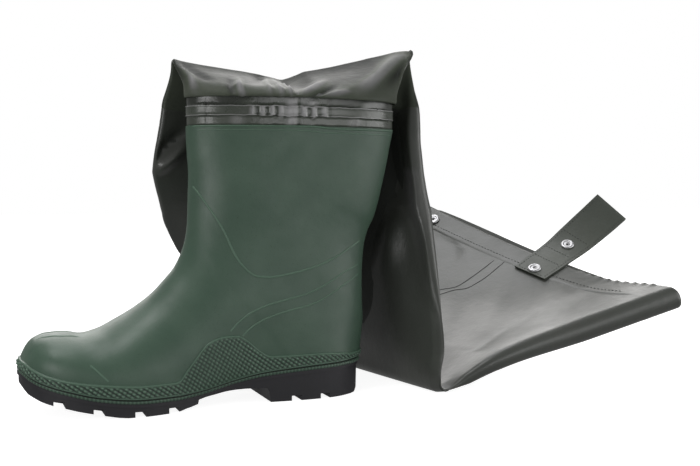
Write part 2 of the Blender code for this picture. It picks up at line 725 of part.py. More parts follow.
def shaft_stations():
    """All stations of the soft shaft, from the collar to the hem."""
    bands = band_stations()
    rise = [table_station(row) for row in RISE[1:]]
    fold = fold_stations()
    fall = [table_station(row) for row in FALL[1:]]
    crease = crease_stations()
    spring = [table_station(row) for row in SPRING[1:]]
    keys = bands + rise + fold + fall + crease + spring
    cuts = [0] * (len(bands) + len(rise) - 1) + [0] * len(fold)
    cuts += [FALL_CUTS] * (len(fall) + 1) + [0] * (len(crease) - 1)
    cuts += [FALL_CUTS] * len(spring)
    stations = between_stations(keys, cuts)
    last_line, last_shape = stations[-1]
    before_line, before_shape = stations[-2]
    gap = float(np.linalg.norm(last_line - before_line, axis=1).mean())
    seam = last_line + (before_line - last_line) * (HEM_WIDTH / gap)
    edge = last_line + (before_line - last_line) * ((HEM_WIDTH - HEM_STEP) / gap)
    raised = last_shape + np.array([0.0, 0.0, 0.0, HEM_STEP])
    return stations[:-1] + [(seam, last_shape), (edge, raised), (last_line, raised)]


def depth(share, width, shape, grow):
    """Half depth of the flattened shaft at a place across it, from -1 at the left to 1 at the right."""
    half = shape[0] + grow
    flat = shape[1]
    roll = max(shape[2], shape[0]) + grow
    oval = half * np.sqrt(np.clip(1.0 - share ** 2, 0.0, 1.0))
    left = np.minimum((1.0 + share) * width / 2, half)
    right = np.minimum((1.0 - share) * width / 2, 2.0 * roll)
    level = np.sqrt(np.clip(half ** 2 - (half - left) ** 2, 0.0, None))
    bulge = np.sqrt(np.clip(roll ** 2 - (roll - right) ** 2, 0.0, None))
    padded = np.where(right < roll, bulge, np.maximum(bulge, half))
    stadium = np.where(share < 0.0, level, padded)
    return (1.0 - flat) * oval + flat * stadium


def shaft_surface(stations, inner):
    """Points of the shaft's outer or inner surface: one ring for each station.

    Under the bands and the hem band the inner surface is level, elsewhere it follows the outer one.
    """
    share = -np.cos(np.linspace(0.0, math.pi, 2 * QUARTER + 1))
    middles = np.array([even(line, (share + 1.0) / 2) for line, shape in stations])
    across = np.gradient(middles, axis=1)
    onward = np.gradient(middles, axis=0)
    normals = np.cross(across, onward)
    normals[:len(BANDS) + len(RISE) - 1] = (0.0, -1.0, 0.0)
    normals /= np.linalg.norm(normals, axis=2)[:, :, None]
    rings = []
    for i, (line, shape) in enumerate(stations):
        width = line_length(line)
        grow = -FABRIC if inner else shape[3]
        stretch = share * (1.0 + 2.0 * grow / width)
        points = even(line, (stretch + 1.0) / 2)
        deep = depth(share, width, shape, grow)[:, None]
        near = points + normals[i] * deep
        far = points - normals[i] * deep
        rings.append(np.concatenate([near, far[-2:0:-1]]))
    if not inner:
        return rings
    outside = np.array(shaft_surface(stations, False))
    around = np.roll(outside, -1, axis=1) - np.roll(outside, 1, axis=1)
    outward = np.cross(around, np.gradient(outside, axis=0))
    outward /= np.linalg.norm(outward, axis=2)[:, :, None]
    free = slice(len(BANDS) - 1, len(stations) - 3)
    inside = np.array(rings)
    inside[free] = outside[free] - outward[free] * FABRIC
    return list(inside)


def make_shaft(home, material):
    """The soft shaft. Its faces are cut into triangles the same way on both sides of each wall."""
    stations = shaft_stations()
    outside = shaft_surface(stations, False)
    inside = shaft_surface(stations, True)
    count = 4 * QUARTER
    rows = len(stations)
    points = [point for ring in outside + inside for point in ring]
    faces = []
    for layer, turn in ((0, 1), (rows, -1)):
        for i in range(rows - 1):
            for j in range(count):
                k = (j + 1) % count
                a = (layer + i) * count
                quad = [a + j, a + k, a + count + k, a + count + j]
                if j >= 2 * QUARTER:
                    quad = quad[1:] + quad[:1]
                first = (quad[0], quad[1], quad[2])
                second = (quad[0], quad[2], quad[3])
                faces += [first[::turn], second[::turn]]
    for i in (0, rows - 1):
        for j in range(count):
            k = (j + 1) % count
            outer_ring = i * count
            inner_ring = (rows + i) * count
            quad = (outer_ring + k, outer_ring + j, inner_ring + j, inner_ring + k)
            faces.append(quad if i == 0 else quad[::-1])
    return add_mesh("shaft", points, faces, home, material)


def hem_top():
    """Top surface of the hem band: its points at the seam and at the hem, from left to right."""
    stations = shaft_stations()
    outside = shaft_surface(stations, False)
    count = 2 * QUARTER + 1
    return outside[-2][:count], outside[-1][:count]


def hem_length():
    """Width of the flattened hem."""
    return line_length(shaft_stations()[-1][0])


def hem_frame(share, inward):
    """Point on the hem band's top, with the directions out of the hem, across it and off it.

    share: -1 at the left edge, 1 at the right. inward: distance from the hem.
    """
    seam, edge = hem_top()
    shares = -np.cos(np.linspace(0.0, math.pi, 2 * QUARTER + 1))
    at_seam = np.array([np.interp(share, shares, seam[:, axis]) for axis in range(3)])
    at_edge = np.array([np.interp(share, shares, edge[:, axis]) for axis in range(3)])
    ahead = np.array([np.interp(share + SHARE_STEP, shares, edge[:, axis]) for axis in range(3)])
    behind = np.array([np.interp(share - SHARE_STEP, shares, edge[:, axis]) for axis in range(3)])
    out = (at_edge - at_seam) / np.linalg.norm(at_edge - at_seam)
    across = (ahead - behind) / np.linalg.norm(ahead - behind)
    off = np.cross(across, out)
    off /= np.linalg.norm(off)
    across = np.cross(out, off)
    return at_edge - out * inward, out, across, off


def strap_point(along, aside, height):
    """Point of the strap: share along it, distance aside from its middle, height over its underside."""
    origin, out, across, off = hem_frame(STRAP_AT, HEM_WIDTH + STRAP_SETBACK)
    fine = np.linspace(0.0, 1.0, LINE_POINTS)
    lift = smooth(column(STRAP_PATH, "along"), column(STRAP_PATH, "lift"), fine)
    rate = np.gradient(lift, fine)
    level = np.sqrt(np.clip(1.0 - rate[:-1] ** 2, 0.0, 1.0)) * np.diff(fine)
    run = np.interp(along, fine, np.concatenate([[0.0], np.cumsum(level)])) * STRAP_LENGTH
    rise = np.interp(along, fine, lift) * STRAP_LENGTH
    tilt = math.asin(np.interp(along, fine, rate))
    turn = math.radians(STRAP_TURN)
    roll = math.radians(float(smooth(column(STRAP_PATH, "along"), column(STRAP_PATH, "twist"), along)))
    ahead = out * math.cos(turn) + across * math.sin(turn)
    beside = across * math.cos(turn) - out * math.sin(turn)
    ahead_strap = ahead * math.cos(tilt) + off * math.sin(tilt)
    up_strap = off * math.cos(tilt) - ahead * math.sin(tilt)
    beside_strap = beside * math.cos(roll) - up_strap * math.sin(roll)
    up_strap = up_strap * math.cos(roll) + beside * math.sin(roll)
    flat = origin + ahead * run + beside * aside
    outward = float((flat - origin) @ out)
    sideways = float((flat - origin) @ across)
    share = STRAP_AT + 2.0 * sideways / hem_length()
    ground = hem_frame(share, HEM_WIDTH + STRAP_SETBACK - outward)[0]
    settle = off * float((ground - flat) @ off) * max(0.0, 1.0 - 2.0 * along)
    point = origin + ahead * run + beside_strap * aside + settle
    return point + off * (rise + STRAP_CLEAR) + up_strap * height, ahead_strap, beside_strap, up_strap


def make_strap(home, material):
    asides = np.linspace(-STRAP_WIDTH / 2, STRAP_WIDTH / 2, STRAP_POINTS)
    rings = []
    for along in np.linspace(0.0, 1.0, STRAP_CUTS):
        loop = max(0.0, along - STRAP_LOOP_AT) / (1.0 - STRAP_LOOP_AT)
        thick = STRAP_THICKNESS + STRAP_LOOP * loop ** 2
        under = [strap_point(float(along), aside, 0.0)[0] for aside in asides]
        over = [strap_point(float(along), aside, thick)[0] for aside in asides]
        rings.append(under + over[::-1])
    strap = loft("strap", rings, home, material)
    for along in SNAP_ON_STRAP:
        point, out, across, off = strap_point(along, 0.0, 0.0)
        hole = round_post("hole", point, out, across, off, POST_DIAMETER / 2 + CLEAR, home)
        combine(strap, hole, "DIFFERENCE")
    return strap


def round_post(name, point, out, across, off, radius, home):
    rings = []
    for height in (-STRAP_THICKNESS, 2.0 * STRAP_THICKNESS):
        rings.append([
            point + off * height + (out * math.cos(a) + across * math.sin(a)) * radius
            for a in np.linspace(0.0, 2.0 * math.pi, SNAP_POINTS, endpoint=False)
        ])
    return loft(name, rings, home)


def turned(name, profile, point, out, across, off, home, material):
    """Ring turned about the axis off: profile is a closed line of radius and height."""
    angles = np.linspace(0.0, 2.0 * math.pi, SNAP_POINTS, endpoint=False)
    points = []
    for a in angles:
        radial = out * math.cos(a) + across * math.sin(a)
        points += [point + radial * radius + off * height for radius, height in profile]
    count = len(profile)
    faces = []
    for i in range(SNAP_POINTS):
        for j in range(count):
            k = (j + 1) % count
            a = i * count
            b = ((i + 1) % SNAP_POINTS) * count
            faces.append((a + j, a + k, b + k, b + j))
    item = add_mesh(name, points, faces, home, material)
    for face in item.data.polygons:
        face.use_smooth = True
    return item


def cap_profile(level, foot):
    """Closed line of a snap, radius and height: the cap starts at level, its post runs down to foot."""
    bore = SNAP_HOLE / 2
    post = POST_DIAMETER / 2
    radii = column(SNAP_CAP, "radius") * SNAP_DIAMETER / 2
    heights = level + column(SNAP_CAP, "height") * SNAP_HEIGHT
    cap = list(zip(radii, heights))
    return [(bore, foot), (post, foot), (post, level)] + cap + [(bore, heights[-1])]


def make_snaps(home, material):
    level = STRAP_THICKNESS + CLEAR
    for number, along in enumerate(SNAP_ON_STRAP, start=1):
        point, out, across, off = strap_point(along, 0.0, 0.0)
        turned("snap_%d" % number, cap_profile(level, 0.0), point, out, across, off, home, material)
    point, out, across, off = hem_frame(SNAP_ON_HEM, HEM_WIDTH / 2)
    profile = cap_profile(CLEAR + SNAP_STAND, CLEAR)
    turned("snap_3", profile, point, out, across, off, home, material)


def build():
    for item in list(bpy.data.objects):
        bpy.data.objects.remove(item, do_unlink=True)
    home = bpy.data.collections.new("hip_wader")
    bpy.context.scene.collection.children.link(home)
    rubber = make_material("green_rubber", (0.075, 0.130, 0.088), 0.50)
    black = make_material("black_rubber", (0.030, 0.028, 0.032), 0.60)
    felt = make_material("grey_insole", (0.220, 0.220, 0.210), 0.90)
    coated = make_material("coated_fabric", (0.085, 0.092, 0.080), 0.35)
    webbing = make_material("strap_fabric", (0.070, 0.080, 0.068), 0.45)
    steel = make_material("snap_steel", (0.800, 0.800, 0.820), 0.25, 1.0)
    make_outsole(home, black)
    make_upper(home, rubber)
    make_insole(home, felt)
    make_shaft(home, coated)
    make_strap(home, webbing)
    make_snaps(home, steel)


build()
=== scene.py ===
"""Dressed hip wader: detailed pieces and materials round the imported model, metres, +Z up."""
import math

import bpy
import numpy as np
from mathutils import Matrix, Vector
from mathutils.bvhtree import BVHTree


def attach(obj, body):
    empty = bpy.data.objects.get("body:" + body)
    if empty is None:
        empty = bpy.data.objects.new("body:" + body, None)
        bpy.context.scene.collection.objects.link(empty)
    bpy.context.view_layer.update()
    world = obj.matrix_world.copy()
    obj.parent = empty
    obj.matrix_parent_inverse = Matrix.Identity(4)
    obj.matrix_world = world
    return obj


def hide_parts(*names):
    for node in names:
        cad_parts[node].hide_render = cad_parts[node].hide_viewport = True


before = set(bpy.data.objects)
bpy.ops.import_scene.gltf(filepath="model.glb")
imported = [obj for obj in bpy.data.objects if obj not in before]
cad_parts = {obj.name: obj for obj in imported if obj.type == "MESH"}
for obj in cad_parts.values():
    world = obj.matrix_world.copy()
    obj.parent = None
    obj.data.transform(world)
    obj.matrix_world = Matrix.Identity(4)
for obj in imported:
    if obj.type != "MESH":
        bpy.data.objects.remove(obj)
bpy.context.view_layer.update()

# Driving sizes, metres, the same as in the model's source
BOOT_LENGTH = 0.305
BALL_WIDTH = 0.109
COLLAR_HEIGHT = 0.244
INSTEP_HEIGHT = 0.100
HEEL_HEIGHT = 0.030
WALL = 0.0026
RAND_STEP = 0.0012
RIM_HEIGHT = 0.021
RIM_WALL = 0.0014
SOLE_LIP = 0.0030
SOLE_STEP = 0.0006
LUG_DEPTH = 0.0045
LUG_GAP = 0.0090
LUG_REACH = 0.0220
FABRIC = 0.0010
BAND_STEP = 0.0007
HEM_STEP = 0.0004
HEM_WIDTH = 0.032
FOLD_RADIUS = 0.0045
FOLD_START = 50.0
# Roll of the hanging half's right edge in its first rows, from the top down
EDGE_ROLLS = (0.0060, 0.0085, 0.0060)
# A creased edge narrows over this much of its width
EDGE_POINT = 0.013
POINT_POWER = 0.8
ROLL_BLEND = 0.002
# Where across the hem its raised step ends, and where across the cloth its edges are shifted
HEM_STEP_ENDS = (0.78, 0.90)
SHIFT_REACH = (0.45, 0.98)
# Rows from the fall's start in which the edge shift sets in, and rows of the fold's lift from the
# start of the rise and of the fall
SHIFT_ROWS = (-4, 6)
LIFT_ROWS = (6, -12, 24)
# The inner surface follows this share of the creases, a little deeper than the cloth's thickness
LINING_FOLLOWS = 0.8
LINING_DEPTH = 0.0016
CREASE_RADIUS = 0.0065
STRAP_WIDTH = 0.0432
STRAP_LENGTH = 0.143
STRAP_THICKNESS = 0.0022
SNAP_DIAMETER = 0.0145
SNAP_HEIGHT = 0.0022
SNAP_STAND = 0.00055
SNAP_HOLE = 0.0044
POST_DIAMETER = 0.0064
CLEAR = 0.0003
STRAP_CLEAR = 0.0004
STRAP_TURN = -8.9
STRAP_SETBACK = 0.004
STRAP_LOOP = 0.0030
STRAP_LOOP_AT = 0.8
STRIP_HEIGHT = 0.0024
STRIP_GROOVE = 0.0010
STRIP_STEP = 0.0008
SOLE_TAPER = 0.0012
CUT_MARGIN = 0.004
FLAT_END = 0.0004
SHARE_STEP = 0.05
CLOSE_PLACES = 0.012
RIM_INSET = BAND_STEP + FABRIC + CLEAR
# The rim from the collar up and down inside, as distance inwards and height
RIM_LINE = (
    (0.0, 0.0), (0.0006, 0.0003), (RIM_INSET, 0.0004), (RIM_INSET, RIM_HEIGHT),
    (RIM_INSET + RIM_WALL, RIM_HEIGHT), (RIM_INSET + RIM_WALL, 0.0),
)
# Rows of the hem band, shares of its width, and the room kept free above them
HEM_ROWS = (0.88, 0.76, 0.64, 0.52, 0.40, 0.28, 0.18, 0.08, 0.0)
HEM_SPARE = 0.002

# How finely the pieces are cut
LINE_POINTS = 161
SIDE_POINTS = 70
OUTLINE_POINTS = 70
FOLD_CUTS = 17
CREASE_CUTS = 13
COLUMNS = 121
BOOT_TURNS = 40
BOOT_ROWS = 260
RAND_COLUMNS = 1260
HEEL_SOFT = 14
HEEL_FADE = 1.6
HEEL_EDGE = 10
RAND_ROWS = 34
STRAP_ROWS = 60
STRAP_COLUMNS = 13
RISE_CUTS = 4
FALL_FINE = 16
SPRING_FINE = 20
ROLL_FADE = 3.2
NEAR_FADE = 7.0
TOE_CROWD = 1.25
TOE_TIP_X = -0.2518
TOE_TIP_HIGH = 0.012
TOE_TIP_CUTS = 6

BUMP_LIFT = 0.0013
# Waves of the rand's lattice, turns per metre along the boot and upwards
LATTICE_ROWS = (-190.0, -263.0)
LATTICE_COLUMNS = (249.0, -117.0)
RIB_LIFT = 0.0005
STRIP_PITCH = 0.0032
WAVER = 0.00030
# Where the weld lines waver most and how widely, in millimetres, and the turns of their waves
WAVER_AT = -20.0
WAVER_WIDTH = 34.0
WAVER_TURNS = (0.31, 0.83)
# Where a reflection is painted pale across the weld bands, and how widely
PAINTED_SHEEN_AT = -0.016
PAINTED_SHEEN_WIDTH = 0.030
# Rows of the rand below its top edge, rows of the strip, and where rays for them start and end
RAND_EDGE = (0.0, 0.0003, 0.0007, 0.0012, 0.0017, 0.0022)
STRIP_ROWS = (1.0, 0.93, 0.75, 0.5, 0.25, 0.07, 0.0)
RAND_START = 0.05
RAND_REACH = 0.08
# A stitch: points round it, places along it and its size there
STITCH_TURNS = 6
STITCH_AT = (0.0, 0.18, 0.5, 0.82, 1.0)
STITCH_SIZES = (0.25, 0.85, 1.0, 0.85, 0.25)
# Relief at which the painted highlight on ridges and the painted shade in troughs are full
BAND_SHADE_RELIEF = 0.0010
FLAP_SHADE_RELIEF = 0.0018
HEM_BACK = 0.0012
HEM_FORE = 0.0095
HEM_CLOSE = 0.0030
HEM_CLOSE_ROWS = 16
HEM_WAVE = 0.0105
HEM_WAVE_LIFT = 0.0016
SNAP_TURNS = 48
# Raised lines: points evened out together, fewest points, points across, depth of feet, step along
LINE_SOFT = 9
LINE_LEAST = 4
LINE_TURNS = 8
LINE_SINK = 0.0004
LINE_STEP = 0.0015

# Cap of a snap. radius: share of the cap's radius. height: share of SNAP_HEIGHT.
SNAP_LINE = [
    (0.93, -0.02), (0.985, 0.06), (1, 0.2), (0.99, 0.42), (0.95, 0.66), (0.88, 0.88), (0.8, 0.98),
    (0.71, 1), (0.64, 0.94), (0.6, 0.8), (0.57, 0.7), (0.5, 0.66), (0.42, 0.66), (0.38, 0.74), (0.34, 0.74),
    (0.31, 0.6),
]

# Top fold of the soft shaft, with the same units as the tables of the shaft
FOLD_LINE = (
    (-0.3725, 0.098, 1.211), (-0.12, 0.098, 1.134), (0.09, 0.098, 1.12), (0.413, 0.092, 1.29),
)

# Small relief of the weld bands. x: millimetres. low and high: shares of RIM_HEIGHT.
# width, height: millimetres, all on the near side.
GATHERS = [
    ("x", "low", "high", "width", "height"),
    (-21.5, 0, 1.2, 5.2, 0.7), (-15.2, 0, 1.2, 0.8, -0.8), (-27.6, 0, 1.2, 0.8, -0.7),
    (14, 0.4, 1.2, 0.8, -0.7), (-94, 0, 1.2, 1.2, -0.5), (-57, 0.44, 0.8, 1.6, 1),
    (-52, 0.4, 0.74, 1.4, -1), (-48, 0.44, 0.82, 1.6, 1.4), (-43.5, 0.4, 0.8, 1.4, -1.4),
    (-39.5, 0.42, 0.82, 1.4, 1.5), (-35.5, 0.36, 0.82, 1.3, -1.4), (-31.8, 0.3, 0.82, 1.3, 1.5),
    (-10.5, 0.38, 0.82, 1.6, 1.2), (-5.5, 0.36, 0.8, 1.4, -1.2), (-1, 0.34, 0.82, 1.5, 1.4),
    (4, 0.36, 0.8, 1.4, -1), (9, 0.4, 0.82, 1.5, 1), (40, 0.05, 0.4, 6, 0.5), (-70, 0.05, 0.4, 5, 0.5),
    (-60, 0.86, 1.1, 6, 0.7), (-2, 0.86, 1.1, 5, 0.7), (50, 0.84, 1.1, 7, 0.7),
]

# Seams on the springing half, x and y in millimetres, seen from above
SEAMS = (
    ((185, 121), (203, 114), (220, 105), (238, 107), (254, 110), (272, 114)),
    ((184, 111), (199, 106), (213, 102), (228, 94), (245, 95), (265, 100), (279, 104)),
)

# Stitch lines on the strap: places along it (share of its length) and aside (metres)
STRAP_SEAMS = (
    ((0.02, -0.0185), (0.98, -0.0185)), ((0.02, 0.0185), (0.98, 0.0185)), ((0.02, -0.0185), (0.02, 0.0185)),
    ((0.21, -0.0185), (0.21, 0.0185)), ((0.34, -0.0185), (0.34, 0.0185)), ((0.56, -0.0185), (0.56, 0.0185)),
)

# How far the top fold is lifted at a place along the boot, millimetres, for the dip in its middle
TOP_LIFT = [
    ("x", "lift"),
    (-130, 5), (-108, 4.8), (-88, 6), (-70, 7.2), (-50, 7.7), (-40, 7.3), (-30, 6.6), (-22, 5.1),
    (-14, 3.3), (-10, 2.8), (-4, 4.2), (5, 7.3), (13, 10.2), (24, 11.7), (35, 12.5), (56, 13.1), (77, 12),
    (99, 9.6), (119, 6.2), (130, 5.6),
]

# How far the hanging half's edges are moved along the boot at a height, all in millimetres
EDGE_SHIFT = [
    ("z", "left", "right"),
    (-20, 0, 0), (126, 0, 0), (148, 4, 0), (165, 5.5, 0), (185, 2, -2.4), (204, -1.2, -3.8), (234, 1.5, -4),
    (255, 2.2, -2), (272, 2.5, 1.5), (286, 1, 4.5), (300, -0.5, 2.5), (325, -2, 0),
]

# Raised lines on the boot: side-view points x, z, width and height, all in millimetres
RAISED_LINES = [
    ("line", "width", "height"),
    (((-106.2, 193.7), (-95.7, 176.1), (-82.2, 152.6), (-72.2, 128.7), (-63.1, 116.9), (-55.4, 112),
      (-43.5, 111), (-26.8, 113), (-3.3, 118.1), (20.3, 126.1), (38.2, 134.5), (52, 140.5)), 2, 0.6),
    (((-81, 64.9), (-72.8, 73.1), (-60.7, 81.2), (-44.4, 87.3), (-27.6, 91), (-8.1, 95.4), (12.3, 103.4),
      (30.6, 112.4), (50, 118.5)), 1.7, 0.5),
    (((-70, 60.3), (-60.8, 68.5), (-46.4, 75.7), (-27.8, 80.7), (-3.9, 85.6), (14.7, 93.1), (30.4, 101),
      (50, 109.5)), 1.7, 0.5),
    (((-107, 243.2), (-80, 243.4), (-40, 243.6), (-10, 243.8), (2, 244.4), (8, 243), (20, 242.2),
      (60, 242.4), (90, 242.8)), 1.8, 0.9),
    (((-106, 239.8), (-60, 240.2), (-10, 240.2), (10, 238.6), (50, 238.4), (88, 238.8)), 1, 0.3),
    (((-239.4, 61.2), (-233.4, 63.7), (-223.1, 64.8), (-212.8, 64.6), (-201.4, 63.2)), 2.4, 0.6),
    (((-223.8, 65), (-224, 61.7), (-222.3, 58.8), (-220.1, 55.9)), 1.6, 0.4),
    (((-200.4, 45.5), (-195.5, 41.3), (-190.3, 35.7), (-185.5, 31)), 1.6, 0.4),
]

# Wrinkles of the soft shaft. First the layer that moves, or near_all and far_all for the whole cloth.
# Then the view of the lines, the parts of the shaft they are in, and the lines, each with its width
# and height, all in millimetres. A height above 0 is a ridge and below 0 a trough.
WRINKLES = [
    ("near", "xz", "rise", "fall", [
        (((-18, 291), (-29, 282), (-33, 270)), 2, 2.9), (((-14, 289), (-21, 281), (-24, 270)), 1.6, 2.9),
        (((-24, 291), (-38, 284), (-43, 271)), 2, 2.2), (((-26, 294), (-42, 287), (-54, 281)), 2.7, -1.7),
        (((-10, 287), (-14, 280), (-18, 271)), 1.8, -2.3), (((-60, 288), (-67, 279), (-66, 268)), 2.5, 2.6),
        (((-68, 287), (-75, 279), (-74, 269)), 2.7, -2),
        (((-13, 273), (-3, 277), (9, 282), (22, 288)), 2, 3.2),
        (((-8, 269), (4, 273), (16, 278), (27, 283)), 1.8, -2), (((-6, 280), (4, 285), (12, 290)), 2.2, -2),
        (((9, 272), (21, 274), (36, 277)), 2, 2.3),
        (((125, 322), (108, 317), (91, 306), (76, 296), (58, 286), (42, 279)), 5.2, 3.4),
        (((118, 308), (102, 302), (88, 293), (74, 283)), 6, -0.9),
        (((12, 300), (30, 300), (56, 304), (80, 312)), 12, -1.6),
        (((112, 314), (105, 303), (99, 291), (95, 280)), 2.2, 2.6),
        (((-112, 296), (-104, 288), (-104, 274)), 3.6, 2.6),
        (((-108, 300), (-96, 290), (-88, 284)), 3.6, -2.3),
    ]),
    ("far_all", "xz", "fall", "crease", [
        (((-130, 203), (-116, 212), (-104, 223), (-92, 231)), 6, 6),
        (((-132, 213), (-118, 223), (-105, 235), (-94, 243)), 6.5, -6.5),
        (((-128, 180), (-118, 160), (-108, 138)), 8, 4),
        (((114, 182), (117, 168), (120, 156), (121, 133), (120, 108), (118, 80)), 4.5, 3.4),
        (((102, 178), (106, 160), (109, 135), (110, 100)), 9, -3),
        (((90, 300), (84, 250), (74, 200), (64, 150), (60, 100), (58, 50), (60, 5)), 22, -23),
        (((113, 290), (115, 235), (118, 190), (120, 165)), 7.5, 5),
        (((99, 290), (100, 250), (103, 205), (107, 170)), 9, -6),
        (((114, 176), (99, 147), (84, 117), (74, 96)), 12, 3),
        (((106, 194), (91, 166), (78, 140)), 13, -2.4),
    ]),
    ("near_all", "xy", "spring", "hem", [
        (((246, 196), (246, 168), (238, 142)), 9, -1.6), (((262, 190), (262, 160), (250, 130)), 9, 1.4),
        (((262, 75), (200, 10), (142, -44)), 12, 1.2), (((230, 92), (190, 44), (152, -6)), 10, -1.2),
        (((210, -10), (180, -30), (150, -48)), 8, -1.4), (((300, 20), (262, -8), (226, -34)), 14, 1.2),
    ]),
]
# Deep valley of the hanging half behind the heel, x and z in millimetres, where shade is painted into the
# colour
VALLEY_SHADE_LINE = ((84, 250), (72, 170), (62, 100), (60, 40))
VALLEY_SHADE_WIDTH = 0.030
# How a wrinkle moves the near and the far layer along their own normals
SIDES = {"near": (1.0, 0.0), "far": (0.0, 1.0), "near_all": (1.0, -1.0), "far_all": (-1.0, 1.0)}

# Weld bands round the rim. height: share of RIM_HEIGHT above the collar. step: share of BAND_STEP.
WELDS = [
    ("height", "step"),
    (0.01, 0), (0.1, 0), (0.2, 0), (0.3, 0), (0.38, 0), (0.4, 0.9), (0.43, 1.5), (0.46, 1), (0.56, 1),
    (0.68, 1), (0.79, 1), (0.82, 1.5), (0.85, 0.9), (0.87, 0.2), (0.98, 0.2), (1.1, 0.2), (1.2, 0.2),
]

# The flap over the bands, finer than in the model's source, with the same columns as FALL
FLAP = [
    ("left", "pull_left", "pull_right", "right", "half", "flat", "roll"),
    ((-0.353, 0, 1.112), (-0.14, 0, 1.112), (0.09, 0, 1.112), (0.299, 0, 1.112),
     0.35, 0, 0),
    ((-0.355, -0.002, 1.103), (-0.14, -0.002, 1.104), (0.09, -0.002, 1.103), (0.303, -0.002, 1.101),
     0.362, 0, 0),
    ((-0.358, -0.005, 1.101), (-0.14, -0.005, 1.103), (0.09, -0.005, 1.102), (0.307, -0.005, 1.099),
     0.377, 0, 0),
    ((-0.36, -0.006, 1.108), (-0.14, -0.006, 1.108), (0.09, -0.006, 1.108), (0.309, -0.006, 1.11),
     0.38, 0, 0),
    ((-0.36, -0.003, 1.124), (-0.14, -0.003, 1.114), (0.09, -0.003, 1.113), (0.312, -0.003, 1.13),
     0.366, 0, 0),
    ((-0.36, 0, 1.138), (-0.14, 0, 1.12), (0.09, 0, 1.117), (0.318, 0, 1.148),
     0.338, 0, 0),
    ((-0.364, 0.026, 1.166), (-0.138, 0.026, 1.125), (0.088, 0.026, 1.112), (0.35, 0.026, 1.204),
     0.22, 0.2, 0),
]

# Foot outline. at: share of BOOT_LENGTH from the heel's centre, toe negative.
# outer and inner: shares of BALL_WIDTH on the outer and inner side.
OUTLINE = [
    ("at", "outer", "inner"),
    (-0.8295, -0.04, 0.07), (-0.8197, 0.11, 0.2), (-0.8, 0.23, 0.29), (-0.7705, 0.335, 0.36),
    (-0.7377, 0.4, 0.405), (-0.7082, 0.435, 0.43), (-0.6295, 0.492, 0.465), (-0.5246, 0.523, 0.477),
    (-0.4262, 0.47, 0.435), (-0.3574, 0.41, 0.378), (-0.2951, 0.368, 0.33), (-0.2426, 0.35, 0.308),
    (-0.1377, 0.372, 0.318), (-0.0393, 0.395, 0.35), (0.0131, 0.392, 0.355), (0.0525, 0.378, 0.35),
    (0.0918, 0.34, 0.322), (0.1246, 0.284, 0.272), (0.1475, 0.218, 0.21), (0.1607, 0.16, 0.155),
    (0.1705, 0.09, 0.088), (0.1755, 0.012, 0.012),
]

# Line where upper and sole meet. at: share of BOOT_LENGTH. height: share of HEEL_HEIGHT.
WELT = [
    ("at", "height"),
    (-0.86, 1.2), (-0.8295, 1.19), (-0.8, 1.01), (-0.7705, 0.88), (-0.7082, 0.69), (-0.6295, 0.5),
    (-0.5246, 0.38), (-0.4262, 0.37), (-0.3574, 0.43), (-0.2426, 0.66), (-0.1607, 0.8), (-0.0328, 0.9),
    (0.0623, 0.94), (0.1755, 0.97), (0.23, 0.975),
]

# Underside of the sole. at: share of BOOT_LENGTH. height: share of HEEL_HEIGHT.
TREAD = [
    ("at", "height"),
    (-0.8295, 0.893), (-0.8066, 0.62), (-0.777, 0.48), (-0.7475, 0.393), (-0.718, 0.325), (-0.6885, 0.245),
    (-0.6459, 0.155), (-0.6, 0.06), (-0.5574, 0), (-0.4262, 0), (-0.3934, 0.07), (-0.3574, 0.15),
    (-0.3546, 0.27), (-0.3049, 0.36), (-0.2623, 0.42), (-0.2131, 0.44), (-0.15, 0.42), (-0.144, 0.3),
    (-0.139, 0), (0.141, 0), (0.154, 0.09), (0.164, 0.3), (0.1755, 0.62),
]

# Top edge of the raised rand. at: share of BOOT_LENGTH. height: share of COLLAR_HEIGHT.
RAND_TOP = [
    ("at", "height"),
    (-0.86, 0.19), (-0.8184, 0.184), (-0.7948, 0.17), (-0.7531, 0.149), (-0.6872, 0.13), (-0.6026, 0.117),
    (-0.5141, 0.109), (-0.4308, 0.109), (-0.4174, 0.113), (-0.3977, 0.142), (-0.3646, 0.192),
    (-0.338, 0.229), (-0.3118, 0.246), (-0.278, 0.254), (-0.2443, 0.253), (-0.217, 0.237), (-0.1839, 0.202),
    (-0.1449, 0.173), (-0.0856, 0.171), (-0.0151, 0.171), (0.0846, 0.164), (0.1557, 0.15), (0.23, 0.146),
]

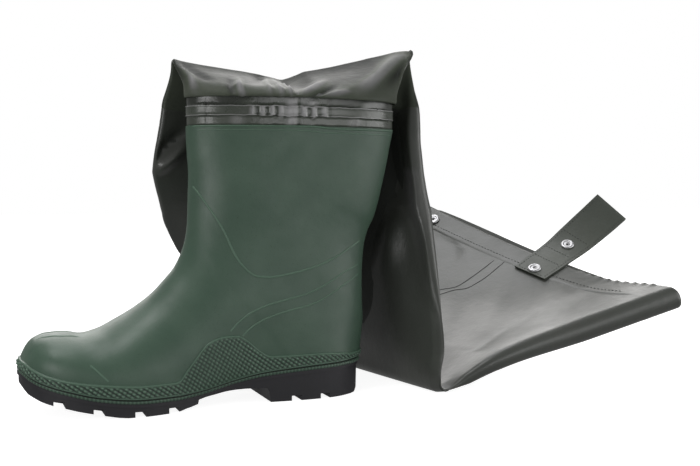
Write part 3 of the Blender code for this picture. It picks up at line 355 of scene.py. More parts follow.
# Boot sections from the toe to the heel's back corner, fanned about the instep.
# front_at, base_at: shares of BOOT_LENGTH.
# rise: height of the front, 1 at INSTEP_HEIGHT, 2 at COLLAR_HEIGHT.
# outer, inner: largest half widths, shares of BALL_WIDTH. belly: where they lie, share of the section.
# low, high: how full the lower and upper parts are (2 is an ellipse). shift: ridge towards the inner side.
FOOT = [
    ("front_at", "rise", "base_at", "outer", "inner", "belly", "low", "high", "shift"),
    (-0.8236, 0.423, -0.8223, 0.07, 0.15, 0.35, 2.4, 2.2, 0.046),
    (-0.8141, 0.495, -0.8092, 0.174, 0.239, 0.35, 2.4, 2.2, 0.046),
    (-0.802, 0.562, -0.7885, 0.275, 0.312, 0.32, 2.4, 2.3, 0.046),
    (-0.7836, 0.616, -0.7574, 0.367, 0.381, 0.3, 2.4, 2.4, 0.042),
    (-0.7525, 0.648, -0.723, 0.429, 0.427, 0.28, 2.4, 2.5, 0.039),
    (-0.7082, 0.654, -0.6754, 0.475, 0.459, 0.26, 2.4, 2.5, 0.033),
    (-0.6557, 0.639, -0.623, 0.505, 0.479, 0.26, 2.4, 2.4, 0.028),
    (-0.6118, 0.67, -0.5721, 0.523, 0.484, 0.26, 2.4, 2.3, 0.022),
    (-0.559, 0.752, -0.5115, 0.527, 0.481, 0.26, 2.4, 2.2, 0.017),
    (-0.5059, 0.849, -0.4475, 0.501, 0.461, 0.27, 2.4, 2.1, 0.011),
    (-0.457, 0.965, -0.3787, 0.462, 0.429, 0.3, 2.4, 2, 0.006),
    (-0.418, 1.062, -0.3016, 0.433, 0.402, 0.34, 2.4, 2, 0.003),
    (-0.3879, 1.142, -0.2164, 0.411, 0.382, 0.38, 2.4, 2, 0),
    (-0.3679, 1.233, -0.1246, 0.398, 0.372, 0.4, 2.4, 2, 0),
    (-0.3561, 1.326, -0.0262, 0.396, 0.374, 0.4, 2.4, 2, 0),
    (-0.3521, 1.399, 0.0656, 0.394, 0.376, 0.4, 2.3, 2, 0),
    (-0.3511, 1.451, 0.1262, 0.388, 0.373, 0.42, 2.2, 2, 0),
    (-0.3508, 1.476, 0.1508, 0.385, 0.372, 0.425, 2.2, 2, 0),
    (-0.3508, 1.493, 0.1649, 0.383, 0.372, 0.43, 2.2, 2, 0),
    (-0.3505, 1.507, 0.1738, 0.379, 0.371, 0.435, 2.2, 2, 0),
]

# Boot sections from the heel's back corner to the collar.
# climb: height of the back, 0 at HEEL_HEIGHT, 1 at COLLAR_HEIGHT. half: half width, share of BALL_WIDTH.
LEG = [
    ("front_at", "rise", "back_at", "climb", "half", "belly", "low", "high"),
    (-0.3505, 1.522, 0.18, 0.007, 0.376, 0.44, 2.2, 2),
    (-0.3498, 1.587, 0.1898, 0.093, 0.368, 0.46, 2.1, 2),
    (-0.3482, 1.649, 0.1961, 0.17, 0.362, 0.47, 2.1, 2), (-0.3479, 1.7, 0.1938, 0.253, 0.358, 0.48, 2, 2),
    (-0.3482, 1.749, 0.1934, 0.348, 0.354, 0.49, 2, 2), (-0.3502, 1.797, 0.1974, 0.462, 0.35, 0.5, 2, 2),
    (-0.3515, 1.839, 0.2111, 0.547, 0.35, 0.5, 2, 2), (-0.3528, 1.881, 0.2334, 0.612, 0.35, 0.5, 2, 2),
    (-0.3538, 1.926, 0.2541, 0.709, 0.35, 0.5, 2, 2), (-0.3541, 1.958, 0.2754, 0.836, 0.35, 0.5, 2, 2),
    (-0.3541, 1.973, 0.2967, 0.981, 0.35, 0.5, 2, 2), (-0.3541, 2, 0.3, 1, 0.35, 0.5, 2, 2),
]

# The hanging half. left, pull_left, pull_right, right: pull points across the cloth, x and y as shares
# of BOOT_LENGTH and z of COLLAR_HEIGHT. half: half its thickness, and roll: that of its right edge,
# shares of BALL_WIDTH. flat: 0 for an oval and 1 for a flattened tube.
FALL = [
    ("left", "pull_left", "pull_right", "right", "half", "flat", "roll"),
    ((-0.4, 0.135, 1.06), (-0.2, 0.195, 1.04), (0.36, 0.216, 1.04), (0.409, 0.04, 1.08),
     0.03, 1, 0.034),
    ((-0.412, 0.196, 0.842), (-0.2, 0.236, 0.78), (0.335, 0.246, 0.74), (0.411, -0.038, 0.7),
     0.03, 1, 0.034),
    ((-0.398, 0.25, 0.75), (-0.185, 0.29, 0.69), (0.325, 0.243, 0.62), (0.409, -0.07, 0.58),
     0.03, 1, 0.034),
    ((-0.345, 0.36, 0.595), (-0.13, 0.41, 0.52), (0.3, 0.23, 0.36), (0.398, -0.16, 0.28),
     0.03, 1, 0.034),
    ((-0.11, 0.56, 0.3), (0.03, 0.56, 0.26), (0.29, 0.2, 0.19), (0.386, -0.2, 0.16),
     0.03, 1, 0.034),
]
# The crease on the floor: pull points x and y, shares of BOOT_LENGTH, and its turn at both ends, degrees
CREASE_LINE = ((0.235, 0.754), (0.285, 0.430), (0.325, 0.120), (0.384, -0.222))
CREASE_TURN = (131.0, 106.0)
# The springing half, with the same columns as FALL
SPRING = [
    ("left", "pull_left", "pull_right", "right", "half", "flat", "roll"),
    ((0.4, 0.762, 0.215), (0.43, 0.44, 0.18), (0.52, 0.1, 0.116), (0.56, -0.25, 0.114),
     0.036, 1, 0.08),
    ((0.62, 0.77, 0.45), (0.69, 0.44, 0.35), (0.83, 0.1, 0.215), (0.9, -0.232, 0.21),
     0.04, 1, 0.112),
    ((0.823, 0.777, 0.672), (0.96, 0.45, 0.515), (1.12, 0.12, 0.338), (1.262, -0.215, 0.31),
     0.04, 1, 0.115),
]
FOLD_HALF = 0.018
CREASE_HALF = 0.030

# Strap across the hem. along: share of STRAP_LENGTH.
# lift: height over the hem band, share of STRAP_LENGTH. twist: degrees, the near edge turned down.
# STRAP_AT: its place across the hem, -1 at the left edge and 1 at the right.
STRAP_AT = 0.111
STRAP_PATH = [
    ("along", "lift", "twist"),
    (0, 0, 0), (0.17, 0, 0), (0.3, 0.002, 1), (0.42, 0.008, 5), (0.53, 0.02, 11), (0.77, 0.054, 21),
    (1, 0.09, 30),
]
SNAP_ON_STRAP = (0.060, 0.451)
SNAP_ON_HEM = -0.86

# Gaps between the lugs, shares of BOOT_LENGTH
LUG_GAPS = (-0.7328, -0.6328, -0.5246, -0.4295, -0.0625, 0.0270)


def column(table, name):
    """One column of a table, as an array."""
    place = table[0].index(name)
    return np.array([row[place] for row in table[1:]], dtype=float)


def unit(vectors):
    """The same directions at length 1."""
    return vectors / np.maximum(np.linalg.norm(vectors, axis=-1, keepdims=True), 1e-12)


def run_along(line):
    """Length run from a line's first point to each of its points."""
    return np.concatenate([[0.0], np.cumsum(np.linalg.norm(np.diff(line, axis=0), axis=1))])


def at_run(want, run, line):
    """Values along a line where its running length, or its share across, is as wanted."""
    return np.stack([np.interp(want, run, values) for values in line.T], axis=-1)


def there_and_back(values):
    """Values across the near side, carried back over the far side to close the ring."""
    return np.concatenate([values, values[-2:0:-1]])


def soften(values, size, mode="edge"):
    """Evens out an array along its first axis with a bell of this size."""
    bell = np.hanning(size)
    padded = np.pad(values.reshape(len(values), -1), ((size // 2, size // 2), (0, 0)), mode=mode)
    soft = [np.convolve(row, bell / bell.sum(), mode="valid") for row in padded.T]
    return np.stack(soft, axis=1).reshape(values.shape)


def soft_step(value, low, high):
    """0 up to low and 1 from high on, smooth between them."""
    t = np.clip((np.asarray(value, dtype=float) - low) / (high - low), 0.0, 1.0)
    return t * t * (3.0 - 2.0 * t)


def hill(distance, width):
    """1 at distance 0, fading out over the width."""
    return np.exp(-(np.asarray(distance) / width) ** 2)


def half_round(value):
    """Height of a half circle over values from -1 to 1."""
    return np.sqrt(np.clip(1.0 - value ** 2, 0.0, 1.0))


def hermite(t, span, first, last, slope, last_slope):
    """Cubic from one value to the next across a span, with the slopes at its ends."""
    start = (1 + 2 * t) * (1 - t) ** 2 * first + t * (1 - t) ** 2 * span * slope
    return start + t * t * (3 - 2 * t) * last + t * t * (t - 1) * span * last_slope


def smooth(at, values, where):
    """Curve through the given values, smooth at each of them, that never overshoots."""
    steps = np.diff(values) / np.diff(at)
    slopes = np.zeros(len(at))
    slopes[0], slopes[-1] = steps[0], steps[-1]
    for i in range(1, len(at) - 1):
        if steps[i - 1] * steps[i] > 0:
            slopes[i] = 2.0 * steps[i - 1] * steps[i] / (steps[i - 1] + steps[i])
    where = np.clip(where, at[0], at[-1])
    i = np.clip(np.searchsorted(at, where, side="right") - 1, 0, len(at) - 2)
    span = at[i + 1] - at[i]
    return hermite((where - at[i]) / span, span, values[i], values[i + 1], slopes[i], slopes[i + 1])


def curve(table, name, where):
    """Smooth curve of one column of a table over its first column."""
    return smooth(column(table, table[0][0]), column(table, name), where)


def outline_half(x, side):
    """Half width of the foot outline at x, on the outer or inner side."""
    return BALL_WIDTH * curve(OUTLINE, side, np.asarray(x) / BOOT_LENGTH)


def welt_height(x):
    """Height of the line where upper and sole meet."""
    return HEEL_HEIGHT * curve(WELT, "height", np.asarray(x) / BOOT_LENGTH)


def tread_height(x):
    """Height of the sole's underside."""
    return HEEL_HEIGHT * curve(TREAD, "height", np.asarray(x) / BOOT_LENGTH)


def rand_height(x):
    """Height of the rand's top edge."""
    return COLLAR_HEIGHT * curve(RAND_TOP, "height", x / BOOT_LENGTH)


def front_height(rise):
    """Height of a point on the boot's front. rise 1 is the instep and 2 the collar."""
    if rise <= 1.0:
        return rise * INSTEP_HEIGHT
    return INSTEP_HEIGHT + (rise - 1.0) * (COLLAR_HEIGHT - INSTEP_HEIGHT)


def line_places(table, count):
    """Places along the boot: those of a table, and even ones that aren't close to them."""
    at = column(table, "at")
    even_places = np.linspace(at[0], at[-1], count)
    apart = np.abs(even_places[:, None] - at[None, :]).min(axis=1) > CLOSE_PLACES
    return np.sort(np.concatenate([at, even_places[apart]])) * BOOT_LENGTH


def between(places, low, high):
    """Polygon in x, z between two height lines."""
    return list(zip(places, low)) + list(zip(places, high))[::-1]


def outline_ring(x):
    """Foot outline in x, y at places along it, down the outer side and back along the inner side."""
    outer = np.stack([x, -outline_half(x, "outer")], axis=1)
    inner = np.stack([x, outline_half(x, "inner")], axis=1)
    return np.concatenate([outer, inner[::-1]])


def outline_polygon(inset):
    """Foot outline in x, y, moved inwards by inset."""
    ring = outline_ring(line_places(OUTLINE, OUTLINE_POINTS))
    ahead = unit(np.roll(ring, -1, axis=0) - np.roll(ring, 1, axis=0))
    return ring + np.stack([-ahead[:, 1], ahead[:, 0]], axis=1) * inset


def bow(pulls):
    """Line drawn by four pull points, metres."""
    share = np.linspace(0.0, 1.0, LINE_POINTS)[:, None]
    rest = 1.0 - share
    first, second, third, last = np.array(pulls, dtype=float)
    near = rest ** 3 * first + 3 * rest ** 2 * share * second
    return near + 3 * rest * share ** 2 * third + share ** 3 * last


def even(line, shares):
    """Points of a line at shares of its length, run on straight past its ends."""
    run = run_along(line)
    want = np.asarray(shares) * run[-1]
    points = at_run(want, run, line)
    points += np.outer(np.minimum(want, 0.0), unit(line[1] - line[0]))
    return points + np.outer(np.maximum(want - run[-1], 0.0), unit(line[-1] - line[-2]))


def resample(line, step):
    """Points a step apart on a smooth curve through a polyline's points."""
    run = run_along(line)
    want = np.linspace(0.0, run[-1], max(int(run[-1] / step), 2) + 1)
    return np.stack([smooth(run, values, want) for values in line.T], axis=1)


def line_distance(points, line):
    """Distance of 2-D points to a polyline, and the place along it as a share."""
    best = np.full(len(points), 1e9)
    share = np.zeros(len(points))
    run = run_along(line) / run_along(line)[-1]
    for i in range(len(line) - 1):
        span = line[i + 1] - line[i]
        t = np.clip((points - line[i]) @ span / (span @ span), 0.0, 1.0)
        gap = np.linalg.norm(points - line[i] - t[:, None] * span, axis=1)
        near = gap < best
        best = np.where(near, gap, best)
        share = np.where(near, run[i] + t * (run[i + 1] - run[i]), share)
    return best, share


# Sections of the boot, and rings on them

def boot_sections():
    """Rows of both boot tables in metres: front and back points, half widths, shape and shift."""
    rows = []
    for front_at, rise, base_at, outer, inner, *shape, shift in FOOT[1:]:
        back_x = base_at * BOOT_LENGTH
        rows.append((front_at * BOOT_LENGTH, front_height(rise), back_x, float(welt_height(back_x)),
                     outer * BALL_WIDTH, inner * BALL_WIDTH, *shape, shift * BALL_WIDTH))
    for front_at, rise, back_at, climb, half, *shape in LEG[1:]:
        back_z = HEEL_HEIGHT + climb * (COLLAR_HEIGHT - HEEL_HEIGHT)
        rows.append((front_at * BOOT_LENGTH, front_height(rise), back_at * BOOT_LENGTH, back_z,
                     half * BALL_WIDTH, half * BALL_WIDTH, *shape, 0.0))
    return np.array(rows)


def fine_sections(count):
    """The boot's sections, many more of them, and for each whether it still ends on the welt line."""
    keys = boot_sections()
    moves = np.abs(np.diff(keys[:, :4], axis=0)).sum(axis=1)
    at = np.concatenate([[0.0], np.cumsum(moves)])
    heel = len(FOOT) - 2
    where = at[-1] * np.linspace(0.0, 1.0, count) ** TOE_CROWD
    where = np.unique(np.concatenate([where, at[[0, heel, heel + 1]]]))
    fine = np.stack([smooth(at, values, where) for values in keys.T], axis=1)
    on_welt = where <= at[heel] + 1e-9
    fine[on_welt, 3] = welt_height(fine[on_welt, 2])
    return fine, on_welt


def boot_ring(section, on_welt, offset):
    """Ring of one section from the outer bottom over the front to the inner bottom."""
    front_x, front_z, back_x, back_z, outer, inner, belly, low, high, shift = section
    front = np.array([front_x, 0.0, front_z])
    back = np.array([back_x, 0.0, back_z])
    length = np.linalg.norm(front - back)
    middle = belly * length
    turn = np.linspace(0.0, math.pi / 2, BOOT_TURNS + 1)
    sides = []
    for side, half, sign in (("outer", outer, -1.0), ("inner", inner, 1.0)):
        base = float(outline_half(back_x, side)) if on_welt else 0.0
        foot = max(base + offset, FLAT_END) if base > 0.0 else 0.0
        wide = max(half + offset, foot + FLAT_END)
        lower = foot + (wide - foot) * np.sin(turn) ** (2.0 / low)
        widths = np.concatenate([lower, wide * np.cos(turn[1:]) ** (2.0 / high)])
        widths[-1] = 0.0
        lower = middle - (middle + offset) * np.cos(turn) ** (2.0 / low)
        upper = middle + (length - middle + offset) * np.sin(turn[1:]) ** (2.0 / high)
        spots = np.concatenate([lower, upper])
        ring = back + np.outer(spots, (front - back) / length)
        ring[:, 1] += sign * widths + shift * np.clip(spots / length, 0.0, 1.0) ** 2
        sides.append(ring)
    return np.concatenate([sides[0], sides[1][-2::-1]])


def boot_skin(offset, rows):
    """Rings of the boot from the toe's tip to the collar, moved outwards by offset."""
    rings = [boot_ring(section, welt, offset) for section, welt in zip(*fine_sections(rows))]
    first = rings[0]
    tip = first * (0.0, 0.0, 1.0) + (TOE_TIP_X - offset, first[:, 1].mean(), 0.0)
    tip[:, 2] = np.clip(tip[:, 2], first[0, 2], first[0, 2] + TOE_TIP_HIGH)
    cap = []
    for turn in np.linspace(0.0, math.pi / 2, TOE_TIP_CUTS, endpoint=False):
        ring = tip + (first - tip) * math.sin(turn)
        ring[:, 0] = tip[:, 0] + (first[:, 0] - tip[:, 0]) * (1.0 - math.cos(turn))
        cap.append(ring)
    return cap + rings


# Mesh objects

def add_object(name, points, faces):
    """A new mesh object in the scene."""
    mesh = bpy.data.meshes.new(name)
    mesh.from_pydata(points, [], faces)
    item = bpy.data.objects.new(name, mesh)
    bpy.context.scene.collection.objects.link(item)
    return item


class Shell:
    """Collects grids of points and turns them into one mesh object."""

    def __init__(self):
        self.points = []
        self.faces = []
        self.marks = []
        self.tones = []
        self.count = 0

    def grid(self, rows, closed=False, flip=False, mark=0, tone=0.0):
        """Adds rows of points. mark: material of each row of faces. tone: shade of the points."""
        rows = np.asarray(rows, dtype=float)
        height, width = rows.shape[:2]
        index = self.count + np.arange(height * width).reshape(height, width)
        right = np.roll(index, -1, axis=1)
        quads = np.stack([index[:-1], right[:-1], right[1:], index[1:]], axis=-1)
        if not closed:
            quads = quads[:, :-1]
        marks = np.broadcast_to(np.reshape(mark, (-1, 1)), quads.shape[:2])
        quads = quads.reshape(-1, 4)
        self.points.append(rows.reshape(-1, 3))
        self.faces.append(quads[:, ::-1] if flip else quads)
        self.marks.append(marks.reshape(-1))
        self.tones.append(np.broadcast_to(tone, (height, width)).reshape(-1))
        self.count += height * width
        return index

    def stitch(self, first, second, flip=False, closed=False):
        """Faces between two rows of points that are already there."""
        quads = np.stack([first, np.roll(first, -1), np.roll(second, -1), second], axis=-1)
        if not closed:
            quads = quads[:-1]
        self.faces.append(quads[:, ::-1] if flip else quads)
        self.marks.append(np.zeros(len(quads), dtype=int))

    def make(self, name, materials, sharp=None):
        """The mesh object. Edges of more than sharp degrees stay sharp."""
        faces = np.concatenate(self.faces)
        item = add_object(name, np.concatenate(self.points).tolist(), faces.tolist())
        mesh = item.data
        for material in materials:
            mesh.materials.append(material)
        mesh.polygons.foreach_set("material_index", np.concatenate(self.marks).astype(np.int32))
        mesh.polygons.foreach_set("use_smooth", np.ones(len(faces), dtype=bool))
        tones = mesh.attributes.new("tone", "FLOAT", "POINT")
        tones.data.foreach_set("value", np.concatenate(self.tones).astype(np.float32))
        mesh.update()
        if sharp:
            mesh.set_sharp_from_angle(angle=math.radians(sharp))
        return item

    def tree(self):
        """The faces so far, for casting rays at them."""
        points = [Vector(point) for point in np.concatenate(self.points)]
        return BVHTree.FromPolygons(points, np.concatenate(self.faces).tolist())


def cast(tree, start, aim, reach=10.0):
    """Where a ray meets a surface, and the normal there on the ray's side. Nothing beyond its reach."""
    spot, normal = tree.ray_cast(Vector(start), Vector(aim), reach)[:2]
    if spot is None:
        return None
    return np.array(spot), np.array(normal) * (-1.0 if normal.dot(Vector(aim)) > 0 else 1.0)


# The soft shaft in its stations, as in the model's source but finer

def table_station(row):
    """Middle line and thickness of one row of the soft shaft's tables."""
    line = even(bow(np.array(row[:4]) * UNITS), np.linspace(0.0, 1.0, LINE_POINTS))
    half, flat, roll = row[4:]
    return line, np.array([half * BALL_WIDTH, flat, roll * BALL_WIDTH, 0.0])


def band_stations():
    """The weld bands round the rim, straight above the collar."""
    stations = []
    for height, step in WELDS[1:]:
        level = COLLAR_HEIGHT + height * RIM_HEIGHT
        front = (RIM_FRONT + BAND_STEP, 0.0, level)
        back = (RIM_BACK - BAND_STEP, 0.0, level)
        line = np.linspace(front, back, LINE_POINTS)
        stations.append((line, np.array([RIM_HALF - BAND_STEP, 0.0, 0.0, step * BAND_STEP])))
    return stations


def fold_stations():
    """The top fold: the shaft turns over towards the inner side."""
    centre = bow(np.array(FOLD_LINE) * UNITS)
    half = FOLD_HALF * BALL_WIDTH
    stations = []
    for angle in np.radians(np.linspace(FOLD_START, 180.0, FOLD_CUTS)):
        line = centre + np.array([0.0, -math.cos(angle), math.sin(angle)]) * FOLD_RADIUS
        stations.append((line, np.array([half, 1.0, half, 0.0])))
    return stations


def crease_stations():
    """The crease on the floor: the shaft turns from hanging to springing up."""
    half = CREASE_HALF * BALL_WIDTH
    centre = bow([(x * BOOT_LENGTH, y * BOOT_LENGTH, CREASE_RADIUS + half) for x, y in CREASE_LINE])
    run = centre[-1] - centre[0]
    outward = unit(np.array([-run[1], run[0], 0.0]))
    turn = np.linspace(*CREASE_TURN, LINE_POINTS)
    stations = []
    for part in np.linspace(0.0, 1.0, CREASE_CUTS):
        angle = np.radians(part * turn)
        line = centre - np.outer(np.cos(angle), outward) * CREASE_RADIUS
        line[:, 2] -= np.sin(angle) * CREASE_RADIUS
        stations.append((line, np.array([half, 1.0, half, 0.0])))
    return stations


def between_stations(keys, cuts):
    """The key stations with smooth ones added between them, as many as cuts says."""
    lines, shapes = (np.array(part) for part in zip(*keys))
    gaps = np.linalg.norm(np.diff(lines, axis=0), axis=2).mean(axis=1)
    rates = np.diff(lines, axis=0) / gaps[:, None, None]
    slopes = np.concatenate([rates[:1], rates])
    for i in range(1, len(gaps)):
        slopes[i] = (rates[i - 1] * gaps[i] + rates[i] * gaps[i - 1]) / (gaps[i - 1] + gaps[i])
    stations = []
    for i, gap in enumerate(gaps):
        for t in np.arange(cuts[i] + 1) / (cuts[i] + 1.0):
            line = hermite(t, gap, lines[i], lines[i + 1], slopes[i], slopes[i + 1])
            stations.append((line, shapes[i] + (shapes[i + 1] - shapes[i]) * t))
    return stations + [(lines[-1], shapes[-1])]


def shaft_stations():
    """All stations of the soft shaft from the collar to the hem, and where each part of it starts."""
    rise, fall, spring = ([table_station(row) for row in table[1:]] for table in (FLAP, FALL, SPRING))
    for (line, shape), roll in zip(fall, EDGE_ROLLS):
        shape[2] = max(shape[2], roll)
    parts = {"bands": band_stations(), "rise": rise, "fold": fold_stations(), "fall": fall,
             "crease": crease_stations(), "spring": spring}
    cuts = [0] * (len(parts["bands"]) - 1) + [1] * (len(rise) - 1) + [RISE_CUTS, RISE_CUTS]
    cuts += [0] * (len(parts["fold"]) - 1) + [FALL_FINE] * (len(fall) + 1)
    cuts += [0] * (len(parts["crease"]) - 1) + [SPRING_FINE] * len(spring)
    stations = between_stations(sum(parts.values(), []), cuts)
    starts = {}
    first = 0
    for name, part in parts.items():
        starts[name] = first + sum(cuts[:first])
        first += len(part)
    last_line, last_shape = stations[-1]
    gaps = [np.linalg.norm(last_line - line, axis=1).mean() for line, shape in stations]
    before = np.flatnonzero(np.array(gaps) > HEM_WIDTH + HEM_SPARE)[-1]
    onto_hem = (stations[before][0] - last_line) / gaps[before]
    steps = [(HEM_WIDTH + HEM_STEP, 0.0), (HEM_WIDTH, 0.0), (HEM_WIDTH - HEM_STEP, HEM_STEP)]
    steps += [(share * HEM_WIDTH, HEM_STEP) for share in HEM_ROWS]
    del stations[before + 1:]
    starts["hem"] = len(stations)
    for inward, raised in steps:
        stations.append((last_line + onto_hem * inward, last_shape + (0.0, 0.0, 0.0, raised)))
    return stations, starts


def shaft_depth(width, shape, grow, reach):
    """Half depth of the flattened shaft across it. The right edge's roll fades over reach."""
    half = shape[0] + grow
    flat = shape[1]
    roll = max(shape[2], shape[0]) + grow
    left = np.minimum((1.0 + SHARES) * width / 2, half)
    right = (1.0 - SHARES) * width / 2
    level = np.sqrt(np.clip(half ** 2 - (half - left) ** 2, 0.0, None))
    round_part = np.sqrt(np.clip(roll ** 2 - (roll - np.minimum(right, roll)) ** 2, 0.0, None))
    fade = half + (roll - half) * (1.0 - soft_step(right, roll, reach * roll))
    padded = np.where(right < roll, round_part, fade)
    pointed = half * np.clip(right / EDGE_POINT, 0.0, 1.0) ** POINT_POWER
    rolled = np.clip((shape[2] - shape[0]) / ROLL_BLEND, 0.0, 1.0)
    stadium = np.where(SHARES < 0.0, level, rolled * padded + (1.0 - rolled) * pointed)
    return (1.0 - flat) * half * half_round(SHARES) + flat * stadium


def shaft_rings(stations, starts):
    """The shaft's outer surface: a ring of points for each station, near side first."""
    middles = np.array([even(line, (SHARES + 1.0) / 2) for line, shape in stations])
    normals = np.cross(np.gradient(middles, axis=1), np.gradient(middles, axis=0))
    normals[:starts["fold"]] = (0.0, -1.0, 0.0)
    normals = unit(normals)
    rings = []
    for i, (line, shape) in enumerate(stations):
        width = run_along(line)[-1]
        sprung = i >= starts["crease"]
        raised = shape[3] * (1.0 - soft_step(SHARES, *HEM_STEP_ENDS) * sprung)
        points = even(line, (SHARES * (1.0 + 2.0 * raised / width) + 1.0) / 2)
        near = normals[i] * shaft_depth(width, shape, raised, NEAR_FADE if sprung else ROLL_FADE)[:, None]
        far = normals[i] * shaft_depth(width, shape, raised, ROLL_FADE)[:, None]
        rings.append(np.concatenate([points + near, (points - far)[-2:0:-1]]))
    return shift_edges(lift_fold(np.array(rings), starts), starts)


def lift_fold(rings, starts):
    """Lifts the top fold by the table, with less and less of it down to the bands and the hanging half."""
    amount = curve(TOP_LIFT, "lift", rings[:, :, 0] * 1000.0) / 1000.0
    row = np.arange(len(rings))
    share = soft_step(row, starts["rise"] + LIFT_ROWS[0], starts["fold"])
    share *= 1.0 - soft_step(row, starts["fall"] + LIFT_ROWS[1], starts["fall"] + LIFT_ROWS[2])
    rings[:, :, 2] += amount * share[:, None]
    return rings


def shift_edges(rings, starts):
    """Moves the hanging half's left and right edges by the table, fading out towards its middle."""
    row = np.arange(len(rings))
    hanging = soft_step(row - starts["fall"], *SHIFT_ROWS) * (row < starts["crease"])
    level = rings[:, :, 2] * 1000.0
    for name, sign in (("left", -1.0), ("right", 1.0)):
        shift = np.interp(level, column(EDGE_SHIFT, "z"), column(EDGE_SHIFT, name)) / 1000.0
        rings[:, :, 0] += shift * soft_step(sign * RING_SHARES, *SHIFT_REACH) * hanging[:, None]
    return rings


def grid_normals(rings):
    """Outward normals of a closed grid of rings."""
    around = np.roll(rings, -1, axis=1) - np.roll(rings, 1, axis=1)
    return unit(np.cross(around, np.gradient(rings, axis=0)))


UNITS = np.array([BOOT_LENGTH, BOOT_LENGTH, COLLAR_HEIGHT])
RIM_FRONT = LEG[-1][0] * BOOT_LENGTH
RIM_BACK = LEG[-1][2] * BOOT_LENGTH
RIM_HALF = LEG[-1][4] * BALL_WIDTH
# Places of the points across the flattened shaft, from -1 to 1, closer together at its edges
EVEN_PLACES = np.linspace(0.0, 1.0, COLUMNS)
SHARES = 0.65 * -np.cos(math.pi * EVEN_PLACES) + 0.35 * (2.0 * EVEN_PLACES - 1.0)
RING_SHARES = there_and_back(SHARES)
STATIONS, STARTS = shaft_stations()
PLAIN_RINGS = shaft_rings(STATIONS, STARTS)
HEM_SEAM = PLAIN_RINGS[STARTS["hem"] + 2][:COLUMNS]
HEM_EDGE = PLAIN_RINGS[-1][:COLUMNS]
HEM_LENGTH = float(run_along(STATIONS[-1][0])[-1])


def hem_frame(share, inward):
    """Point on the hem band's top, with the directions out of the hem, across it and off it.

    share: -1 at the left edge, 1 at the right. inward: distance from the hem.
    """
    at_edge = at_run(share, SHARES, HEM_EDGE)
    out = unit(at_edge - at_run(share, SHARES, HEM_SEAM))
    beside = at_run(share + SHARE_STEP, SHARES, HEM_EDGE) - at_run(share - SHARE_STEP, SHARES, HEM_EDGE)
    off = unit(np.cross(unit(beside), out))
    return at_edge - out * inward, out, np.cross(out, off), off


def strap_point(along, aside, height):
    """Point of the strap: share along it, distance aside from its middle, height over its underside."""
    origin, out, across, off = hem_frame(STRAP_AT, HEM_WIDTH + STRAP_SETBACK)
    fine = np.linspace(0.0, 1.0, LINE_POINTS)
    lift = curve(STRAP_PATH, "lift", fine)
    rate = np.gradient(lift, fine)
    level = half_round(rate[:-1]) * np.diff(fine)
    run = np.interp(along, fine, np.concatenate([[0.0], np.cumsum(level)])) * STRAP_LENGTH
    rise = np.interp(along, fine, lift) * STRAP_LENGTH
    tilt = math.asin(np.interp(along, fine, rate))
    turn = math.radians(STRAP_TURN)
    roll = math.radians(float(curve(STRAP_PATH, "twist", along)))
    ahead = out * math.cos(turn) + across * math.sin(turn)
    beside = across * math.cos(turn) - out * math.sin(turn)
    ahead_strap = ahead * math.cos(tilt) + off * math.sin(tilt)
    up = off * math.cos(tilt) - ahead * math.sin(tilt)
    beside_strap = beside * math.cos(roll) - up * math.sin(roll)
    up_strap = up * math.cos(roll) + beside * math.sin(roll)
    flat = origin + ahead * run + beside * aside
    share = STRAP_AT + 2.0 * float((flat - origin) @ across) / HEM_LENGTH
    ground = hem_frame(share, HEM_WIDTH + STRAP_SETBACK - float((flat - origin) @ out))[0]
    settle = off * float((ground - flat) @ off) * max(0.0, 1.0 - 2.0 * along)
    point = origin + ahead * run + beside_strap * aside + settle
    return point + off * (rise + STRAP_CLEAR) + up_strap * height, ahead_strap, beside_strap, up_strap


def strap_thickness(along):
    """Thickness of the strap, which widens to a loop at its end."""
    loop = max(0.0, along - STRAP_LOOP_AT) / (1.0 - STRAP_LOOP_AT)
    return STRAP_THICKNESS + STRAP_LOOP * loop ** 2


# Pieces

def raised_line(shell, spots, width, height, tone):
    """A low rounded ridge along points and normals, faded out at both ends. Sizes in metres."""
    if len(spots) < LINE_LEAST:
        return
    points, normals = (soften(np.array(part), LINE_SOFT) for part in zip(*spots))
    ahead = np.gradient(points, axis=0)
    aside = unit(np.cross(ahead, normals))
    off = unit(np.cross(aside, ahead))
    off *= np.sign((off * normals).sum(axis=1))[:, None]
    place = np.linspace(0.0, 1.0, len(points))
    fade = np.minimum(1.0, np.minimum(place, 1.0 - place) * len(points) / 6.0 + 0.05)[:, None]
    rows = []
    for turn in np.linspace(0.0, math.pi, LINE_TURNS):
        rise = height * math.sin(turn) * fade - (LINE_SINK if turn in (0.0, math.pi) else 0.0)
        rows.append(points + aside * (width / 2 * math.cos(turn)) + off * rise)
    shell.grid(rows, tone=tone)


def stitches(shell, path, normals, length, gap, radius, tone):
    """Short raised stitches along a path."""
    run = run_along(path)
    turns = np.linspace(0.0, 2.0 * math.pi, STITCH_TURNS, endpoint=False)
    for i in range(int(run[-1] / (length + gap))):
        start = i * (length + gap) + gap / 2
        spots = at_run(np.array(STITCH_AT) * length + start, run, path)
        up = unit(at_run(start, run, normals))
        side = unit(np.cross(unit(spots[-1] - spots[0]), up))
        rows = []
        for spot, size in zip(spots, STITCH_SIZES):
            centre = spot + up * radius * (size - 0.4)
            rows.append([centre + (side * math.cos(a) + up * math.sin(a)) * radius * size for a in turns])
        shell.grid(rows, closed=True, tone=tone)


